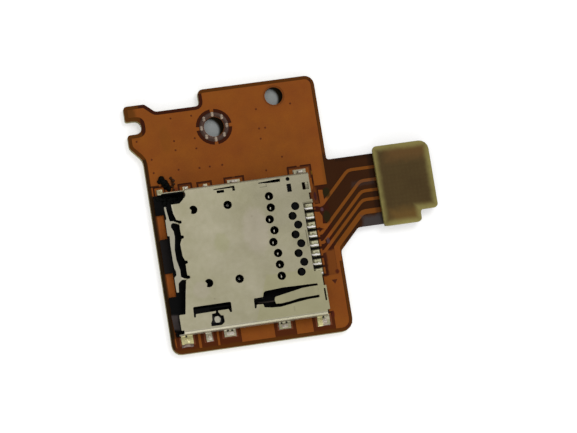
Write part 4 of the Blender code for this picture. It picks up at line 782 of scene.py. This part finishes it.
def makeCoilSpring():
    # A copy of the CAD spring, with a mesh of its own.
    piece = addPiece("coil_spring", nodes["eject_spring"].data.copy(), wireMaterial)
    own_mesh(piece)
    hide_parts("eject_spring")


makeCoilSpring()
print("edges rounded and spring made")


solder = {
    "lowFeet": ((0.92, 2.03, 0.58, 1.60), (3.33, 3.93, 0.80, 1.60), (5.07, 6.22, 1.00, 1.60),
                (10.30, 11.44, 0.98, 1.60), (14.02, 15.20, 0.76, 1.60)),
    "highFeet": ((0.78, 1.40, 15.34, 15.80), (1.34, 2.02, 15.32, 15.50), (3.36, 3.80, 15.40, 15.82),
                 (5.22, 5.60, 15.40, 15.72), (7.58, 8.82, 15.44, 15.86), (13.99, 15.22, 15.42, 15.98)),
    "height": 0.20, "tailHeight": 0.13, "tailStart": 14.60, "tailHalf": 0.34,
}


def makeSolder():
    shape = bmesh.new()
    for index, (x0, x1, y0, y1) in enumerate(solder["lowFeet"] + solder["highFeet"]):
        dome(shape, (x0, y0), (x1, y1), solder["height"], copperLevel, 3.1 * index)
    addPiece("foot_solder", meshFrom(shape, "foot_solder"), solderMaterial, smoothAngle=80)
    shape = bmesh.new()
    for number in range(1, 9):
        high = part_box(f"contact_{number}")[1]
        x1 = (high.x - boardCorner.x) / mm
        tail = [v.co.y for v in nodes[f"contact_{number}"].data.vertices if v.co.x > high.x - 0.2 * mm]
        middle = ((min(tail) + max(tail)) / 2 - boardCorner.y) / mm
        low = (solder["tailStart"], middle - solder["tailHalf"])
        dome(shape, low, (x1 + 0.02, middle + solder["tailHalf"]), solder["tailHeight"], copperLevel,
             2.3 * number, columns=16, rows=16, lumps=0.1)
    addPiece("tail_solder", meshFrom(shape, "tail_solder"), solderMaterial, smoothAngle=80)


makeSolder()
print("solder made")


# The ring's profile gives the radius and the height above the copper of each of its loops.
screwPad = {
    "centre": (7.20, 21.15), "sides": 72,
    "profile": ((0.985, 0.0), (1.015, 0.03), (1.10, 0.045), (1.30, 0.04), (1.39, 0.025), (1.42, 0.0)),
    "beads": 8, "beadReach": 1.22, "beadRadius": 0.15, "beadPair": 0.09, "beadHeight": 0.09, "beadFoot": 0.03,
}


def makeScrewPad():
    x, y = screwPad["centre"]
    shape = bmesh.new()
    loops = [circle(shape, x, y, radius, copperLevel + rise, screwPad["sides"])
             for radius, rise in screwPad["profile"]]
    for inner, outer in zip(loops, loops[1:] + loops[:1]):
        joinLoops(shape, inner, outer)
    addPiece("screw_pad_tin", meshFrom(shape, "screw_pad_tin"), tinMaterial)
    shape = bmesh.new()
    for bead in range(screwPad["beads"]):
        angle = 2 * math.pi * bead / screwPad["beads"]
        reach = screwPad["beadReach"]
        for step in (-1, 1):
            beadX = x + reach * math.cos(angle)
            beadY = y + reach * math.sin(angle) + step * screwPad["beadPair"]
            cap(shape, beadX, beadY, screwPad["beadRadius"], screwPad["beadHeight"],
                copperLevel + screwPad["beadFoot"])
    addPiece("screw_pad_beads", meshFrom(shape, "screw_pad_beads"), beadMaterial)


makeScrewPad()


via = {
    "radius": 0.10, "height": 0.012,
    "places": ((3.2, 22.5), (5.2, 22.5), (-0.35, 20.7), (3.2, 20.3), (5.2, 20.3), (3.2, 19.4), (5.2, 19.3),
               (0.8, 18.8), (0.8, 17.5), (3.2, 17.5), (5.2, 17.4), (6.2, 17.4), (7.4, 17.4), (11.45, 22.3),
               (14.8, 22.4), (11.45, 20.4), (12.05, 20.4), (11.45, 19.4), (13.2, 17.4), (11.5, 16.3)),
}


def makeVias():
    shape = bmesh.new()
    for x, y in via["places"]:
        cap(shape, x, y, via["radius"], via["height"], copperLevel, sides=14, rings=3)
    addPiece("via_covers", meshFrom(shape, "via_covers"), viaMaterial)


makeVias()


mark = {"middle": (16.3, 4.80), "width": 0.56, "depth": 0.42, "height": 0.006}


def makeMark():
    # A plain triangle that shows which end the first contact is at.
    x, y = mark["middle"]
    half, rise = mark["width"] / 2, mark["depth"] / 2
    corners = ((x - half, y + rise), (x + half, y + rise), (x, y - rise))
    shape = bmesh.new()
    low = [shape.verts.new(place(cx, cy, copperLevel)) for cx, cy in corners]
    high = [shape.verts.new(place(cx, cy, copperLevel + mark["height"])) for cx, cy in corners]
    shape.faces.new(high)
    shape.faces.new(low[::-1])
    joinLoops(shape, low, high)
    addPiece("corner_mark", meshFrom(shape, "corner_mark"), markMaterial)


makeMark()


residue = {
    "lumps": ((1.22, 16.60, 0.24, 0.30), (1.45, 16.76, 0.34, 0.34), (1.62, 16.44, 0.38, 0.36),
              (1.82, 16.10, 0.34, 0.32), (1.98, 15.80, 0.26, 0.26)),
    "swirls": ((2.34, 16.78, 0.15, 0.10), (2.50, 16.52, 0.17, 0.12), (2.52, 16.20, 0.14, 0.11),
               (2.30, 15.98, 0.14, 0.12), (2.42, 15.66, 0.13, 0.10)),
    "corner": ((0.80, 14.93, 0.26, 0.16), (1.10, 14.90, 0.30, 0.22), (1.45, 14.95, 0.36, 0.22),
               (1.35, 14.45, 0.28, 0.18), (1.95, 14.80, 0.36, 0.20), (2.05, 14.40, 0.22, 0.16),
               (2.40, 14.75, 0.30, 0.18), (0.98, 1.85, 0.22, 0.16)),
    "bosses": ((7.25, 13.42), (7.27, 6.28)), "bossRadius": 0.13, "bossHeight": 0.08, "ceiling": 0.03,
    "ragged": 0.22, "skin": 0.35,
}


def makeLump(shape, x, y, radius, height, base, seed, sides=26, rings=10):
    # A burnt drop with an uneven outline and skin.
    loops = []
    for r in range(rings):
        angle = r / rings * math.pi / 2
        loop = []
        for s in range(sides):
            turn = 2 * math.pi * s / sides
            outline = noise.noise(Vector((math.cos(turn) * 1.4, math.sin(turn) * 1.4, seed)))
            reach = radius * math.cos(angle) * (1 + residue["ragged"] * outline)
            px, py = x + reach * math.cos(turn), y + reach * math.sin(turn)
            skin = 1 + residue["skin"] * noise.noise(Vector((px * 6, py * 6, seed + 3)))
            loop.append(shape.verts.new(place(px, py, base + height * math.sin(angle) * skin)))
        loops.append(loop)
    closeCap(shape, loops, shape.verts.new(place(x, y, base + height)))


def groundAt(ground, x, y):
    # The height of the plastic's top at a place on the board, in millimetres.
    hit = ground.ray_cast(place(x, y, 20), Vector((0, 0, -1)))[0]
    return copperLevel if hit is None else hit.z / mm


def addBurnt(shape, name, material):
    addPiece(name, meshFrom(shape, name), material, smoothAngle=80)


def makeResidue():
    shape = bmesh.new()
    for index, (x, y, radius, height) in enumerate(residue["lumps"]):
        makeLump(shape, x, y, radius, height, copperLevel, 5.7 * index)
    plastic = bmesh.new()
    plastic.from_mesh(nodes["housing"].data)
    ground = BVHTree.FromBMesh(plastic)
    plastic.free()
    # The lumps in the corner stay below the cover's top, however high their skin rises.
    for index, (x, y, radius, height) in enumerate(residue["corner"]):
        base = groundAt(ground, x, y)
        room = (shellTop - residue["ceiling"] - base) / (1 + residue["skin"])
        makeLump(shape, x, y, radius, min(height, room), base - 0.02, 4.3 * index)
    addBurnt(shape, "burnt_residue", charMaterial)
    shape = bmesh.new()
    for index, (x, y, radius, height) in enumerate(residue["swirls"]):
        makeLump(shape, x, y, radius, height, copperLevel, 3.9 * index)
    addBurnt(shape, "scorched_flux", swirlMaterial)
    # Two small caps on the plastic below the roof's holes carry painted glints.
    shape = bmesh.new()
    for x, y in residue["bosses"]:
        cap(shape, x, y, residue["bossRadius"], residue["bossHeight"], groundAt(ground, x, y))
    addPiece("painted_glint_bosses", meshFrom(shape, "painted_glint_bosses"), bossMaterial)


makeResidue()
print("marks and residue made")


# Camera, from the photograph's measured axes

view = {
    "target": (0.00470, 0.002075, 0.00077), "right": (0.9795, -0.1581, 0.125),
    "back": (-0.149, -0.149, 0.978), "distance": 0.35, "lens": 229.66, "sensor": 36,
}


def makeCamera():
    back = Vector(view["back"]).normalized()
    right = Vector(view["right"])
    right = (right - back * right.dot(back)).normalized()
    up = back.cross(right)
    data = bpy.data.cameras.new("camera")
    data.lens = view["lens"]
    data.sensor_width = view["sensor"]
    camera = addObject("camera", data)
    turned = Matrix((right, up, back)).transposed().to_4x4()
    turned.translation = Vector(view["target"]) + back * view["distance"]
    camera.matrix_world = turned
    bpy.context.scene.camera = camera


studio = {
    "world": 0.58, "lamps": (("key", (0.25, 0.22, 0.55), 0.25, 0.85), ("fill", (-0.05, -0.5, 0.2), 0.4, 0.9)),
    "floorSize": 3, "floorColour": (0.86, 0.86, 0.86, 1), "lift": 0.4,
    "holes": (((7.30, 21.25), 1.12), ((13.45, 23.50), 1.02)), "holeGrey": "ACB0AE", "holeDark": "2A2216",
    "shadeShift": (0.62, 0.25), "shadeReach": 0.82, "shadeSoft": 0.3,
}


def aroundPoint(tree, where, middle, radius, soft=0.12):
    # One inside a circle on the floor, none outside it.
    away = vectorMath(tree, "DISTANCE", where, (*middle, 0))
    return ramp(tree, away.outputs["Value"], radius + soft, radius)


def makeLamp(name, offset, size, power):
    data = bpy.data.lights.new(name, "AREA")
    data.size = size
    data.energy = power
    lamp = addObject(name, data)
    lamp.location = offset
    lamp.rotation_mode = "QUATERNION"
    lamp.rotation_quaternion = Vector(offset).to_track_quat("Z", "Y")


def makeWorld():
    world = bpy.data.worlds.new("studio")
    world.use_nodes = True
    background = world.node_tree.nodes["Background"]
    background.inputs["Color"].default_value = (1, 1, 1, 1)
    background.inputs["Strength"].default_value = studio["world"]
    bpy.context.scene.world = world


def makeFloorMaterial():
    material = bpy.data.materials.new("pale_floor")
    material.use_nodes = True
    tree = material.node_tree
    shader = tree.nodes["Principled BSDF"]
    shader.inputs["Roughness"].default_value = 0.9
    shader.inputs["Specular IOR Level"].default_value = 0.0
    # Seen directly or in metal, the floor is lifted to white; its shadows stay.
    path = tree.nodes.new("ShaderNodeLightPath").outputs
    rays = ("Is Camera Ray", "Is Glossy Ray", "Is Transmission Ray")
    seen = fold(tree, "MAXIMUM", [path[ray] for ray in rays])
    # Below the two holes the floor is painted grey with a dark crescent, a painted shadow that shows through
    # the holes.
    where = boardPlace(tree)
    masks, shades = [], []
    for middle, radius in studio["holes"]:
        shifted = [m - s for m, s in zip(middle, studio["shadeShift"])]
        mask = aroundPoint(tree, where, middle, radius)
        lit = aroundPoint(tree, where, shifted, radius * studio["shadeReach"], studio["shadeSoft"])
        masks.append(mask)
        shades.append(math2(tree, "SUBTRACT", mask, lit))
    below = fold(tree, "MAXIMUM", masks)
    shade = fold(tree, "MAXIMUM", shades)
    grey = blendColour(tree, shade, srgb(studio["holeGrey"]), srgb(studio["holeDark"]))
    tree.links.new(blendColour(tree, below, studio["floorColour"], grey), shader.inputs["Base Color"])
    lift = math2(tree, "MULTIPLY", seen, math2(tree, "SUBTRACT", 1.0, below))
    tree.links.new(math2(tree, "MULTIPLY", lift, studio["lift"]), shader.inputs["Emission Strength"])
    shader.inputs["Emission Color"].default_value = (1, 1, 1, 1)
    return material


def makeStudio():
    makeWorld()
    for lamp in studio["lamps"]:
        makeLamp(*lamp)
    bpy.ops.mesh.primitive_grid_add(x_subdivisions=4, y_subdivisions=4, size=studio["floorSize"])
    floor = bpy.context.object
    floor.name = "floor"
    floor.data.materials.append(makeFloorMaterial())


makeCamera()
makeStudio()
bpy.context.scene.view_settings.view_transform = "Standard"
print("studio made")
